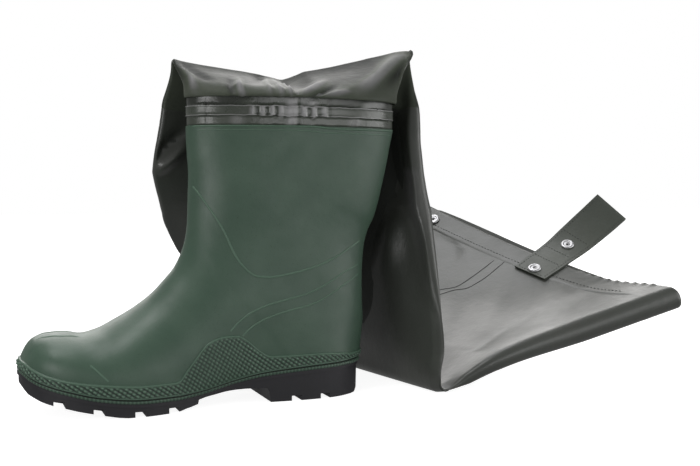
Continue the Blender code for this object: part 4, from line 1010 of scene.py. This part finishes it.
def outline_path():
    """Even points round the foot outline, their outward normals and their running length."""
    ends = column(OUTLINE, "at")[[0, -1]] * BOOT_LENGTH
    ring = outline_ring(ends.mean() + (ends[1] - ends[0]) / 2 * np.cos(np.linspace(0.0, math.pi, 400)))
    ring = np.concatenate([ring, ring[:1]])
    run = run_along(ring)
    want = np.linspace(0.0, run[-1], RAND_COLUMNS, endpoint=False)
    soft = soften(at_run(want, run, ring), 15, "wrap")
    ahead = unit(np.roll(soft, -1, axis=0) - np.roll(soft, 1, axis=0))
    outward = np.stack([ahead[:, 1], -ahead[:, 0]], axis=1)
    if ((outward * (soft - soft.mean(axis=0))).sum(axis=1)).mean() < 0:
        outward = -outward
    return soft, outward, want


def soften_heel(rings, turn_row):
    """Evens out the rings round the heel's back corner, where the foot's rings become the leg's."""
    near = hill(np.arange(len(rings)) - turn_row, HEEL_FADE * HEEL_SOFT)
    place = np.arange(rings.shape[1])
    inside = soft_step(np.minimum(place, rings.shape[1] - 1 - place), 0, HEEL_EDGE)
    weight = (near[:, None] * inside[None, :])[:, :, None]
    return rings * (1.0 - weight) + soften(rings, 2 * HEEL_SOFT + 1) * weight


def make_boot(rubber, dark):
    """The moulded boot: outer skin, inner skin, rim, raised lines and the textured rand."""
    skin = Shell()
    turn_row = TOE_TIP_CUTS + int(fine_sections(BOOT_ROWS)[1].sum())
    rings = soften_heel(np.array(boot_skin(0.0, BOOT_ROWS)), turn_row)
    skin.grid(rings)
    tree = skin.tree()
    skin.grid(boot_skin(-WALL, BOOT_ROWS // 3)[TOE_TIP_CUTS:], flip=True)
    top = rings[-1]
    out = unit((top - ((RIM_FRONT + RIM_BACK) / 2, 0.0, 0.0)) * (1.0, 1.0, 0.0))
    skin.grid([top - out * inward + (0.0, 0.0, level) for inward, level in RIM_LINE])
    for side in (-1.0, 1.0):
        for line, width, height in RAISED_LINES[1:]:
            path = resample(np.array(line) / 1000.0, LINE_STEP)
            hits = [cast(tree, (x, side * BALL_WIDTH * 2, z), (0.0, -side, 0.0)) for x, z in path]
            # The raised lines are painted lighter, a painted highlight along them
            raised_line(skin, [hit for hit in hits if hit], width / 1000.0, height / 1000.0, -0.6)
    return skin.make("boot_upper", [rubber]), make_rand(tree, rubber, dark)


def make_rand(tree, rubber, dark):
    """The textured rand, the groove under it and the stitched strip above the sole, with painted shade and
    highlight on their relief.
    """
    edge = np.array(RAND_EDGE)
    strip = np.array(STRIP_ROWS) * STRIP_HEIGHT
    columns = []
    tones = []
    for (x, y), (nx, ny), s in zip(*outline_path()):
        welt = float(welt_height(x))
        low = welt + STRIP_HEIGHT + STRIP_GROOVE
        top = max(float(rand_height(x)), low + 0.006)
        middle = np.linspace(top - edge[-1], low + edge[-1] * 0.8, RAND_ROWS + 2)[1:-1]
        levels = np.concatenate([
            [top + 0.0003], top - edge, middle, low + edge[::-1] * 0.8,
            [low - 0.0001, welt + STRIP_HEIGHT + 0.0001], welt + strip, [welt - 0.0004]])
        from_top = top - levels
        from_low = levels - low
        in_field = soft_step(from_top, 0.0016, 0.0028) * soft_step(from_low, 0.0010, 0.0020)
        first = LATTICE_ROWS[1] * levels - LATTICE_ROWS[0] * s
        second = LATTICE_COLUMNS[1] * levels - LATTICE_COLUMNS[0] * s
        bump = (0.5 + 0.5 * np.cos(2 * math.pi * first)) * (0.60 + 0.40 * np.cos(2 * math.pi * second))
        top_rib = hill(from_top - 0.0010, 0.0007)
        low_rib = hill(from_low - 0.0007, 0.0005)
        step = soft_step(from_top, -0.0002, 0.0004) * soft_step(from_low, -0.0002, 0.0004)
        lift = step * (RAND_STEP * 0.72 + RIB_LIFT * (top_rib + 0.7 * low_rib)) + BUMP_LIFT * bump * in_field
        on_strip = (levels < welt + STRIP_HEIGHT + 0.00005) & (levels > welt - 0.0002)
        pillow = half_round(2.0 * np.clip((levels - welt) / STRIP_HEIGHT, 0.0, 1.0) - 1.0)
        dots = 0.5 + 0.5 * math.cos(2 * math.pi * s / STRIP_PITCH)
        lift = np.where(on_strip, STRIP_STEP * (0.35 + 0.65 * pillow) + 0.00035 * dots * pillow, lift)
        lift[[0, -1]] = -0.0003
        groove = (from_low < 0) & (levels > welt + STRIP_HEIGHT)
        lift = np.where(groove, 0.00005, lift)
        # Painted shade in the lattice's hollows, in the groove and between the strip's dots; painted
        # highlight on the bump tops, the ribs and the dots
        tones.append(in_field * (1.0 - soft_step(bump, 0.02, 0.24) - 0.9 * soft_step(bump, 0.26, 0.70))
                     + groove - 0.7 * (top_rib + 0.5 * low_rib) + on_strip * (0.55 - 0.9 * dots))
        points = []
        for level, height in zip(levels, lift):
            start = (x + nx * RAND_START, y + ny * RAND_START, level)
            hit = cast(tree, start, (-nx, -ny, 0.0), RAND_REACH)
            spot, normal = hit or (np.array([x, y, level]), np.array([nx, ny, 0.0]))
            points.append(spot + normal * height)
        columns.append(points)
    # The groove's rows take the near-black groove material, a painted shadow line
    marks = np.zeros(len(levels) - 1, dtype=int)
    groove_row = len(middle) + 2 * len(edge)
    marks[groove_row:groove_row + 3] = 1
    shell = Shell()
    shell.grid(np.array(columns).transpose(1, 0, 2), closed=True, mark=marks, tone=np.array(tones).T)
    return shell.make("boot_rand", [rubber, dark])


def loft(name, rings):
    """Closed solid between rings of points, its faces turned outwards."""
    count = len(rings[0])
    points = [tuple(float(value) for value in point) for ring in rings for point in ring]
    faces = []
    for i in range(0, len(points) - count, count):
        for j in range(count):
            k = (j + 1) % count
            faces.append((i + j, i + k, i + count + k, i + count + j))
    faces += [tuple(reversed(range(count))), tuple(range(len(points) - count, len(points)))]
    item = add_object(name, points, faces)
    mesh = item.data
    mesh.calc_loop_triangles()
    volume = 0.0
    for triangle in mesh.loop_triangles:
        first, second, third = (mesh.vertices[i].co for i in triangle.vertices)
        volume += first.dot(second.cross(third))
    if volume < 0:
        mesh.flip_normals()
    return item


def prism(name, polygon, low, high, axis="Y"):
    """Closed prism of a polygon, drawn out along Y (polygon in x, z) or along Z (polygon in x, y)."""
    order = (0, 2, 1) if axis == "Y" else (0, 1, 2)
    rings = [[np.array([*point, level])[list(order)] for point in polygon] for level in (low, high)]
    return loft(name, rings)


def combine(target, tool, operation):
    """Boolean of target and tool, kept in target."""
    step = target.modifiers.new("combine", "BOOLEAN")
    step.operation = operation
    step.solver = "EXACT"
    step.object = tool
    graph = bpy.context.evaluated_depsgraph_get()
    mesh = bpy.data.meshes.new_from_object(target.evaluated_get(graph))
    target.modifiers.clear()
    old = target.data
    target.data = mesh
    bpy.data.meshes.remove(old)
    bpy.data.objects.remove(tool, do_unlink=True)


def make_sole(material):
    """The black sole with its lip, tread and lug gaps, shaded smooth with edges over 32 degrees kept sharp.
    """
    wide = BALL_WIDTH
    places = line_places(WELT, SIDE_POINTS)
    top = welt_height(places) - CLEAR
    sole = prism("sole", outline_polygon(0.0), -CUT_MARGIN, COLLAR_HEIGHT, "Z")
    combine(sole, prism("lip", between(places, top - SOLE_LIP, top), -wide, wide), "INTERSECT")
    places = line_places(TREAD, SIDE_POINTS)
    top = welt_height(places) - CLEAR
    low_ring = [(x, y, -CUT_MARGIN) for x, y in outline_polygon(SOLE_STEP + SOLE_TAPER)]
    high_ring = [(x, y, 2.0 * HEEL_HEIGHT) for x, y in outline_polygon(SOLE_STEP)]
    tread = loft("tread", [low_ring, high_ring])
    profile = between(places, tread_height(places), top - SOLE_LIP / 2)
    combine(tread, prism("profile", profile, -wide, wide), "INTERSECT")
    combine(sole, tread, "UNION")
    for at in LUG_GAPS:
        x = at * BOOT_LENGTH
        level = float(tread_height(x)) + LUG_DEPTH
        gap = between((x - LUG_GAP / 2, x + LUG_GAP / 2), (-CUT_MARGIN, -CUT_MARGIN), (level, level))
        for side, sign in (("outer", -1.0), ("inner", 1.0)):
            start = sign * (float(outline_half(x, side)) - LUG_REACH)
            combine(sole, prism("gap", gap, *sorted((start, sign * BALL_WIDTH))), "DIFFERENCE")
    sole.data.materials.clear()
    sole.data.materials.append(material)
    for face in sole.data.polygons:
        face.use_smooth = True
        face.material_index = 0
    sole.data.set_sharp_from_angle(angle=math.radians(32.0))
    sole.name = "boot_sole"
    return sole


def crease_shaft(rings):
    """Waves the weld lines, and gives how far creases and gathers move each point of the shaft."""
    near = np.arange(rings.shape[1]) < COLUMNS
    amount = np.zeros(rings.shape[:2])
    for side, plane, start, end, lines in WRINKLES:
        part = slice(STARTS[start], STARTS[end])
        picked = rings[part][:, :, [0, 2 if plane == "xz" else 1]]
        for line, width, height in lines:
            gap, along = line_distance(picked.reshape(-1, 2), np.array(line) / 1000.0)
            fade = np.sin(math.pi * np.clip(along, 0.02, 0.98)) ** 0.6
            rise = (height / 1000.0 * hill(gap, width / 1000.0) * fade).reshape(picked.shape[:2])
            amount[part] += rise * np.where(near, *SIDES[side])
    welded = rings[:STARTS["rise"]]
    places = welded[:, :, 0] * 1000.0
    uneven = 0.35 + 1.2 * hill(places - WAVER_AT, WAVER_WIDTH)
    waves = np.sin(places * WAVER_TURNS[0]) + 0.6 * np.sin(places * WAVER_TURNS[1] + 1.0)
    welded[:, :, 2] += WAVER * uneven * waves
    level = (welded[:, :, 2] - COLLAR_HEIGHT) / RIM_HEIGHT
    for x, low, high, width, height in GATHERS[1:]:
        upright = soft_step(level, low - 0.03, low + 0.05) * soft_step(-level, -high - 0.03, 0.05 - high)
        amount[:STARTS["rise"]] += height / 1000.0 * hill(places - x, width) * upright * near
    return amount * soft_step(1.0 - np.abs(RING_SHARES), 0.0, 0.06)


def open_hem(rings, normals):
    """Flares the hem's two layers apart at its edge, closes them above it, and waves the near one."""
    rows = len(rings)
    near = np.arange(rings.shape[1]) < COLUMNS
    hem = STARTS["hem"]
    out = there_and_back(unit(HEM_EDGE - HEM_SEAM))
    reach = np.where(near, -HEM_BACK, HEM_FORE) * half_round(RING_SHARES)
    share = np.clip((np.arange(rows) - hem - 2) / (rows - 3 - hem), 0.0, None)
    rings += out * (reach * share[:, None])[:, :, None]
    closing = soft_step(np.arange(rows), hem - HEM_CLOSE_ROWS, hem + 4)
    flat_part = (1.0 - soft_step(RING_SHARES, 0.70, 0.90)) * soft_step(RING_SHARES, -0.99, -0.90) * ~near
    rings -= normals * (HEM_CLOSE * closing[:, None] * flat_part)[:, :, None]
    wave = 0.5 - 0.5 * np.cos(2 * math.pi * RING_SHARES * HEM_LENGTH / 2 / HEM_WAVE)
    zone = soft_step(RING_SHARES, 0.28, 0.40) * (1.0 - soft_step(RING_SHARES, 0.80, 0.90)) * near
    share = np.clip((np.arange(rows) - rows + 5) / 4.0, 0.0, None)
    rings += normals * (wave * zone * HEM_WAVE_LIFT * share[:, None] ** 2)[:, :, None]


def shaft_tones(rings, amount):
    """Painted shade and highlight of the shaft's points: lighter raised weld edges and darker weld grooves, a
    painted reflection across the bands' middle, painted shade in the valley behind the heel, a painted
    highlight along the hanging half's right edge, painted shade on the flap's upper face, and lighter ridges
    and darker troughs of the creases.
    """
    rows = np.arange(len(rings))
    near = np.arange(rings.shape[1]) < COLUMNS
    tones = np.zeros(rings.shape[:2])
    steps = column(WELDS, "step")
    heights = column(WELDS, "height")
    sheen_share = np.where(heights > 0.84, 1.0, np.where(heights > 0.40, 0.6, 0.1))
    grooves = (steps > 0.1) & (steps < 0.95)
    # Painted highlight on the raised weld edges and painted shade in the weld grooves
    tones[:len(steps)] = np.where(steps > 1.0, -1.0, np.where(grooves, 0.7, 0.0))[:, None]
    # Painted reflection across the middle of the bands on the near side, strongest on the upper bands
    tones[:len(steps)] -= sheen_share[:, None] * hill(rings[:len(steps), :, 0] - PAINTED_SHEEN_AT, PAINTED_SHEEN_WIDTH) * near
    # Painted shade in the valley of the hanging half behind the heel
    valley, along = line_distance(rings[:, :, [0, 2]].reshape(-1, 2), np.array(VALLEY_SHADE_LINE) / 1000.0)
    hanging = ((rows > STARTS["fall"] + 10) & (rows < STARTS["crease"]))[:, None] * ~near
    tones += 0.9 * (hill(valley, VALLEY_SHADE_WIDTH) * soft_step(along, 0.0, 0.5)).reshape(tones.shape) * hanging
    # Painted highlight along the hanging half's right edge
    tones -= hill(RING_SHARES - 0.90, 0.085) * soft_step(rings[:, :, 2], 0.10, 0.20) * hanging
    # Painted shade on the flap's upper face
    flap_face_shade = soft_step(rows, STARTS["rise"] + 8, STARTS["fold"] - 2) * (rows < STARTS["fall"])
    tones += 0.8 * flap_face_shade[:, None] * near
    # Painted highlight on the ridges and painted shade in the troughs of creases and gathers
    scale = np.where(rows < STARTS["rise"], BAND_SHADE_RELIEF, FLAP_SHADE_RELIEF)
    shown = (rows < STARTS["fall"]) & (rows > 0)
    return tones - np.clip(amount / scale[:, None], -0.9, 1.4) * shown[:, None] * near


def make_shaft(materials):
    """The soft shaft: bands, flap, fold, hanging half, crease, springing half and hem."""
    rings = PLAIN_RINGS.copy()
    normals = grid_normals(rings)
    amount = crease_shaft(rings)
    rings += normals * amount[:, :, None]
    open_hem(rings, normals)
    row = np.arange(len(rings) - 1)
    marks = np.where(row < STARTS["rise"], 1, np.where(row < STARTS["fall"], 2, 0))
    shell = Shell()
    outer = shell.grid(rings, closed=True, mark=marks, tone=shaft_tones(rings, amount))
    inside = PLAIN_RINGS + (rings - PLAIN_RINGS) * LINING_FOLLOWS
    inside -= grid_normals(PLAIN_RINGS) * LINING_DEPTH
    inside[STARTS["hem"]:] = (rings - grid_normals(rings) * FABRIC)[STARTS["hem"]:]
    kept = np.unique([*range(0, len(rings), 2), len(rings) - 1])
    inner = shell.grid(inside[kept], closed=True, flip=True, mark=3)
    shell.stitch(outer[-1], inner[-1], closed=True)
    shell.stitch(outer[0], inner[0], closed=True, flip=True)
    return shell.make("soft_shaft", materials), rings, normals


def make_strap(material):
    """The strap's two layers, its ends and its closed edges."""
    asides = np.linspace(-STRAP_WIDTH / 2, STRAP_WIDTH / 2, STRAP_COLUMNS)
    rings = []
    for along in np.linspace(0.0, 1.0, STRAP_ROWS):
        thick = strap_thickness(along)
        end = 1.0 - soft_step(along, 0.975, 1.0) * 0.35
        under = [strap_point(along, aside, thick * (1.0 - end) / 2)[0] for aside in asides]
        over = [strap_point(along, aside, thick * (1.0 + end) / 2)[0] for aside in asides]
        rings.append(under + over[::-1])
    shell = Shell()
    index = shell.grid(rings, closed=True)
    for row, flip in ((0, False), (-1, True)):
        shell.stitch(index[row, :STRAP_COLUMNS], index[row, STRAP_COLUMNS:][::-1], flip=flip)
    return shell.make("hem_strap", [material], sharp=50.0)


def make_snap(name, level, foot, point, out, across, off, steel):
    """A snap: post, flange with a rounded edge, raised ring and sunk middle."""
    bore = SNAP_HOLE / 2 * 0.55
    profile = [(bore, foot + 0.0002), (POST_DIAMETER / 2, foot), (POST_DIAMETER / 2, level)]
    profile += [(radius * SNAP_DIAMETER / 2, level + height * SNAP_HEIGHT) for radius, height in SNAP_LINE]
    profile.append((bore, level + 0.30 * SNAP_HEIGHT))
    rows = []
    for radius, height in profile:
        angles = np.linspace(0.0, 2.0 * math.pi, SNAP_TURNS, endpoint=False)
        around = np.outer(np.cos(angles), out) + np.outer(np.sin(angles), across)
        rows.append(point + around * radius + off * height)
    shell = Shell()
    index = shell.grid(rows, closed=True)
    shell.stitch(index[-1], index[0], closed=True)
    return shell.make(name, [steel], sharp=40.0)


def make_seams(tree, material):
    """The double curved seam on the springing half, as two low welts painted dark as the shade of the seam
    lines.
    """
    shell = Shell()
    for line in SEAMS:
        path = resample(np.array(line) / 1000.0, LINE_STEP)
        hits = [cast(tree, (x, y, 2 * COLLAR_HEIGHT), (0.0, 0.0, -1.0)) for x, y in path]
        # Painted shade: the welts are darkened fully
        raised_line(shell, [hit for hit in hits if hit], 0.0018, 0.0005, 1.0)
    return shell.make("shaft_seams", [material])


def make_hem_stitches(points, normals, material):
    """Stitches along the hem's seam on the near side."""
    shell = Shell()
    row = STARTS["hem"] + 4
    kept = slice(4, COLUMNS - 22)
    stitches(shell, points[row][kept], normals[row][kept], length=0.0026, gap=0.0018, radius=0.0004, tone=1.0)
    return shell.make("hem_stitches", [material])


def make_strap_stitches(material):
    """The strap's stitch lines, on its upper face."""
    shell = Shell()
    for start, end in STRAP_SEAMS:
        frames = []
        for along, aside in np.linspace(start, end, 40):
            frames.append(strap_point(along, aside, strap_thickness(along)))
        spots = np.array([place[0] for place in frames])
        ups = np.array([place[3] for place in frames])
        stitches(shell, spots, ups, length=0.0022, gap=0.0016, radius=0.00032, tone=0.6)
    return shell.make("strap_stitches", [material])


# Materials

def new_material(name):
    """A new material: itself, its node tree, its shader and its object coordinates."""
    material = bpy.data.materials.new(name)
    material.use_nodes = True
    tree = material.node_tree
    return material, tree, tree.nodes["Principled BSDF"], add_node(tree, "TexCoord", {}, "Object")


def set_sockets(tree, node, sockets):
    """Links a node's sockets or sets their values."""
    for name, value in sockets.items():
        if isinstance(value, bpy.types.NodeSocket):
            tree.links.new(value, node.inputs[name])
        else:
            node.inputs[name].default_value = value


def add_node(tree, kind, sockets, result):
    """A new node, of which one output is given back."""
    node = tree.nodes.new("ShaderNode" + kind)
    set_sockets(tree, node, sockets)
    return node.outputs[result]


def add_noise(tree, place, scale, detail, rough=0.55):
    sockets = {"Vector": place, "Scale": scale, "Detail": detail, "Roughness": rough}
    return add_node(tree, "TexNoise", sockets, "Fac")


def add_range(tree, source, low, high, start=0.3, end=0.7):
    sockets = {"Value": source, "From Min": start, "From Max": end, "To Min": low, "To Max": high}
    return add_node(tree, "MapRange", sockets, "Result")


def add_bump(tree, source, strength, distance, **before):
    sockets = {"Height": source, "Strength": strength, "Distance": distance, **before}
    return add_node(tree, "Bump", sockets, "Normal")


def add_ramp(tree, source, stops, colours):
    """Blends two colours by a source between two stops."""
    ramp = tree.nodes.new("ShaderNodeValToRGB")
    for point, at, colour in zip(ramp.color_ramp.elements, stops, colours):
        point.position = at
        point.color = (*colour, 1.0)
    tree.links.new(source, ramp.inputs["Fac"])
    return ramp.outputs["Color"]


def add_mix(tree, share, first, second):
    """Blends a colour into a second one by a share."""
    mix = tree.nodes.new("ShaderNodeMix")
    mix.data_type = "RGBA"
    set_sockets(tree, mix, {"Factor": share, "A": first, "B": (*second, 1.0)})
    return mix.outputs["Result"]


def add_surface(name, look, dark, light, spot, raised, roughness):
    """A material of two cloudy tones with fine spots, painted highlights, uneven gloss and two sizes of
    bumps.

    The mesh's tone paints shade where above 0, in valleys, grooves and creases, and paints a highlight in the
    raised colour where below.
    """
    material, tree, shader, place = new_material(name)
    clouds = add_noise(tree, place, *look["cloud"])
    colour = add_ramp(tree, clouds, look["stops"], (dark, light))
    most, start, end = look["spots"]
    mask = add_range(tree, add_noise(tree, place, *look["spot"]), 0.0, most, start, end)
    colour = add_mix(tree, mask, colour, spot)
    tone = tree.nodes.new("ShaderNodeAttribute")
    tone.attribute_name = "tone"
    tone = tone.outputs["Fac"]
    # Painted shade: positive tone mixes in a darker copy of the colour
    colour = add_mix(tree, add_range(tree, tone, 0.0, 1.0, 0.0, 1.0), colour, [0.34 * part for part in dark])
    # Painted highlight: negative tone mixes in the raised colour
    colour = add_mix(tree, add_range(tree, tone, 1.0, 0.0, -1.0, 0.0), colour, raised)
    gloss = add_range(tree, add_noise(tree, place, *look["gloss"]), *roughness)
    wide, fine = (add_noise(tree, place, *look[name]) for name in ("wide", "fine"))
    bump = add_bump(tree, wide, *look["wide_bump"])
    bump = add_bump(tree, fine, *look["fine_bump"], Normal=bump)
    set_sockets(tree, shader, {"Base Color": colour, "Roughness": gloss, "Normal": bump})
    return material, tree, shader


def rubber_material(name, dark, light, speck, roughness):
    """Moulded rubber: soft cloudy tone, tiny dark specks, fine grain and satin gloss."""
    # Colour of the painted highlights on the raised lines, ribs and bump tops
    raised = [1.7 * part for part in light]
    material, tree, shader = add_surface(name, RUBBER_LOOK, dark, light, speck, raised, roughness)
    set_sockets(tree, shader, {"Specular IOR Level": 0.45})
    return material


def fabric_material(name, dark, light, roughness, gloss, specular=0.5, lift=1.7):
    """Coated fabric: smooth and glossy, a faint weave under the coat, softly cloudy."""
    # Grey colour of the painted highlights on weld edges, the bands' middle and crease ridges
    raised = [lift * sum(light) / 3.0] * 3
    material, tree, shader = add_surface(name, FABRIC_LOOK, dark, light, light, raised, roughness)
    sockets = {"Specular IOR Level": specular, "Coat Weight": gloss, "Coat Roughness": 0.22}
    set_sockets(tree, shader, sockets)
    return material


def steel_material(name):
    """Plain metal with a slightly uneven shine."""
    material, tree, shader, place = new_material(name)
    clouds = add_noise(tree, place, 900.0, 2.0)
    colour = add_ramp(tree, clouds, (0.3, 0.7), ((0.48, 0.48, 0.49), (0.62, 0.62, 0.63)))
    gloss = add_range(tree, clouds, 0.34, 0.48)
    set_sockets(tree, shader, {"Base Color": colour, "Roughness": gloss, "Metallic": 1.0})
    return material


# Stage

def add_light(name, place, target, size, power, colour):
    """A soft rectangular lamp that the camera doesn't see."""
    data = bpy.data.lights.new(name, "AREA")
    data.shape = "RECTANGLE"
    data.size, data.size_y = size
    data.energy = power
    data.color = colour
    lamp = bpy.data.objects.new(name, data)
    lamp.location = place
    lamp.visible_camera = False
    lamp.rotation_euler = (Vector(target) - Vector(place)).to_track_quat("-Z", "Y").to_euler()
    bpy.context.scene.collection.objects.link(lamp)


def make_stage():
    """Plain pale floor, white surround, soft lights and the camera at the photograph's angle."""
    corners = [(x * FLOOR_REACH, y * FLOOR_REACH, 0.0) for x, y in ((-1, -1), (1, -1), (1, 1), (-1, 1))]
    floor = add_object("floor", corners, [(0, 1, 2, 3)])
    floor.location.z = FLOOR_DROP
    floor.visible_glossy = False
    floor.visible_diffuse = False
    plain, tree, shader = new_material("floor_white")[:3]
    set_sockets(tree, shader, {
        "Base Color": (0.50, 0.50, 0.50, 1.0), "Roughness": 0.9, "Specular IOR Level": 0.0,
        "Emission Color": (1.0, 1.0, 1.0, 1.0), "Emission Strength": FLOOR_GLOW})
    floor.data.materials.append(plain)
    world = bpy.data.worlds.new("surround")
    bpy.context.scene.world = world
    world.use_nodes = True
    tree = world.node_tree
    seen = add_node(tree, "LightPath", {}, "Is Camera Ray")
    strength = add_range(tree, seen, WORLD_STRENGTH, 1.0, 0.0, 1.0)
    set_sockets(tree, tree.nodes["Background"], {"Color": (1.0, 1.0, 1.0, 1.0), "Strength": strength})
    for row in LIGHTS[1:]:
        add_light(*row)
    lens = bpy.data.cameras.new("camera")
    camera = bpy.data.objects.new("camera", lens)
    bpy.context.scene.collection.objects.link(camera)
    lens.sensor_width = 36.0
    lens.lens = CAMERA_LENS
    lens.clip_start = 0.01
    camera.location = CAMERA_PLACE
    yaw, pitch = math.radians(CAMERA_YAW), math.radians(CAMERA_PITCH)
    ahead = Vector((math.sin(yaw) * math.cos(pitch), math.cos(yaw) * math.cos(pitch), -math.sin(pitch)))
    camera.rotation_euler = ahead.to_track_quat("-Z", "Y").to_euler()
    bpy.context.scene.camera = camera
    bpy.context.scene.view_settings.view_transform = "Standard"


def seat(piece, node):
    """Puts a piece on the one body and hides the model's node that it stands for."""
    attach(piece, "root")
    if node:
        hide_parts(node)


# Build and place

CAMERA_LENS = 51.84
CAMERA_PLACE = (-0.3089, -0.8847, 0.191)
CAMERA_YAW = 22.0
CAMERA_PITCH = 2.67
WORLD_STRENGTH = 0.28
FLOOR_GLOW = 0.90
FLOOR_REACH = 6.0
FLOOR_DROP = -0.0002
LIGHTS = [
    ("name", "place", "target", "size", "power", "colour"),
    ("back", (0.75, 2.2, 1.30), (0.15, 0.0, 0.10), (3.2, 2.0), 50.0, (1.0, 0.985, 0.97)),
    ("top", (0.12, 0.75, 2.0), (0.1, 0.1, 0.10), (1.1, 0.9), 11.0, (0.98, 0.98, 1.0)),
    ("foot", (-0.75, 0.05, 1.7), (-0.15, 0.0, 0.05), (0.9, 0.8), 12.0, (1.0, 1.0, 1.0)),
    ("toe", (-0.75, -0.45, 0.20), (-0.22, -0.02, 0.04), (0.45, 0.3), 1.9, (1.0, 1.0, 1.0)),
    ("side", (1.9, -0.8, 0.55), (0.1, 0.0, 0.15), (1.0, 1.4), 13.0, (1.0, 1.0, 1.0)),
    ("front", (1.0, -1.8, 0.40), (0.0, 0.0, 0.20), (1.0, 0.7), 4.9, (1.0, 1.0, 1.0)),
    ("glint", (0.10, -2.0, 0.36), (0.0, 0.0, 0.26), (0.50, 0.5), 2.4, (0.98, 0.98, 1.0)),
]
# Noise of a material as scale, detail and roughness, its ranges, and its bumps as strength and metres
RUBBER_LOOK = {
    "cloud": (28.0, 4.0), "stops": (0.30, 0.70), "spot": (950.0, 1.0), "spots": (0.5, 0.67, 0.71),
    "gloss": (60.0, 3.0), "wide": (140.0, 3.0), "wide_bump": (0.25, 0.0006),
    "fine": (2200.0, 2.0), "fine_bump": (0.35, 0.00012),
}
FABRIC_LOOK = {
    "cloud": (14.0, 3.0, 0.5), "stops": (0.28, 0.72), "spot": (420.0, 2.0), "spots": (0.18, 0.45, 0.75),
    "gloss": (45.0, 4.0), "wide": (120.0, 4.0, 0.6), "wide_bump": (0.35, 0.0012),
    "fine": (1500.0, 1.0), "fine_bump": (0.25, 0.00012),
}

rubber = rubber_material(
    "boot_green_rubber", (0.040, 0.078, 0.052), (0.057, 0.100, 0.069), (0.022, 0.042, 0.028), (0.40, 0.50))
# Near-black rubber for the rand's groove: a painted shadow line, not the rubber's own colour
dark = rubber_material(
    "groove_painted_shadow", (0.008, 0.012, 0.009), (0.014, 0.018, 0.014), (0.006, 0.008, 0.006), (0.60, 0.70))
black = rubber_material(
    "sole_black_rubber", (0.011, 0.011, 0.013), (0.019, 0.018, 0.022), (0.007, 0.007, 0.008), (0.48, 0.60))
felt = rubber_material(
    "insole_felt", (0.20, 0.20, 0.19), (0.26, 0.26, 0.25), (0.14, 0.14, 0.13), (0.85, 0.95))
fabric = fabric_material("shaft_fabric", (0.047, 0.051, 0.044), (0.060, 0.064, 0.056), (0.33, 0.41), 0.20)
# lift sets how light the painted highlights on the bands and the flap are
band = fabric_material(
    "shaft_band", (0.034, 0.042, 0.030), (0.052, 0.061, 0.048), (0.24, 0.34), 0.25, lift=4.6)
# A lighter, greener copy of the shaft fabric with duller gloss, its colour matched to how the light falls on
# the flap
flap = fabric_material(
    "shaft_flap", (0.052, 0.060, 0.047), (0.074, 0.084, 0.064), (0.36, 0.44), 0.0, specular=0.10, lift=2.4)
lining = fabric_material("shaft_lining", (0.026, 0.029, 0.025), (0.036, 0.040, 0.034), (0.60, 0.70), 0.0)
webbing = fabric_material("strap_fabric", (0.050, 0.058, 0.047), (0.068, 0.076, 0.062), (0.42, 0.52), 0.1)
steel = steel_material("snap_metal")

boot, rand = make_boot(rubber, dark)
seat(boot, "upper")
seat(rand, None)
seat(make_sole(black), "outsole")
shaft, shaft_points, shaft_normals = make_shaft([fabric, band, flap, lining])
seat(shaft, "shaft")
seams = make_seams(BVHTree.FromObject(shaft, bpy.context.evaluated_depsgraph_get()), fabric)
seat(seams, None)
hem_stitches = make_hem_stitches(shaft_points, shaft_normals, webbing)
seat(hem_stitches, None)
strap_stitches = make_strap_stitches(webbing)
seat(strap_stitches, None)
strap = make_strap(webbing)
seat(strap, "strap")
snaps = [(STRAP_THICKNESS + CLEAR, 0.0, *strap_point(along, 0.0, 0.0)) for along in SNAP_ON_STRAP]
snaps.append((CLEAR + SNAP_STAND, CLEAR, *hem_frame(SNAP_ON_HEM, HEM_WIDTH / 2)))
for number, place in enumerate(snaps, start=1):
    seat(make_snap("snap_cap_%d" % number, *place, steel), "snap_%d" % number)
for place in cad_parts["insole"].material_slots:
    place.material = felt

make_stage()
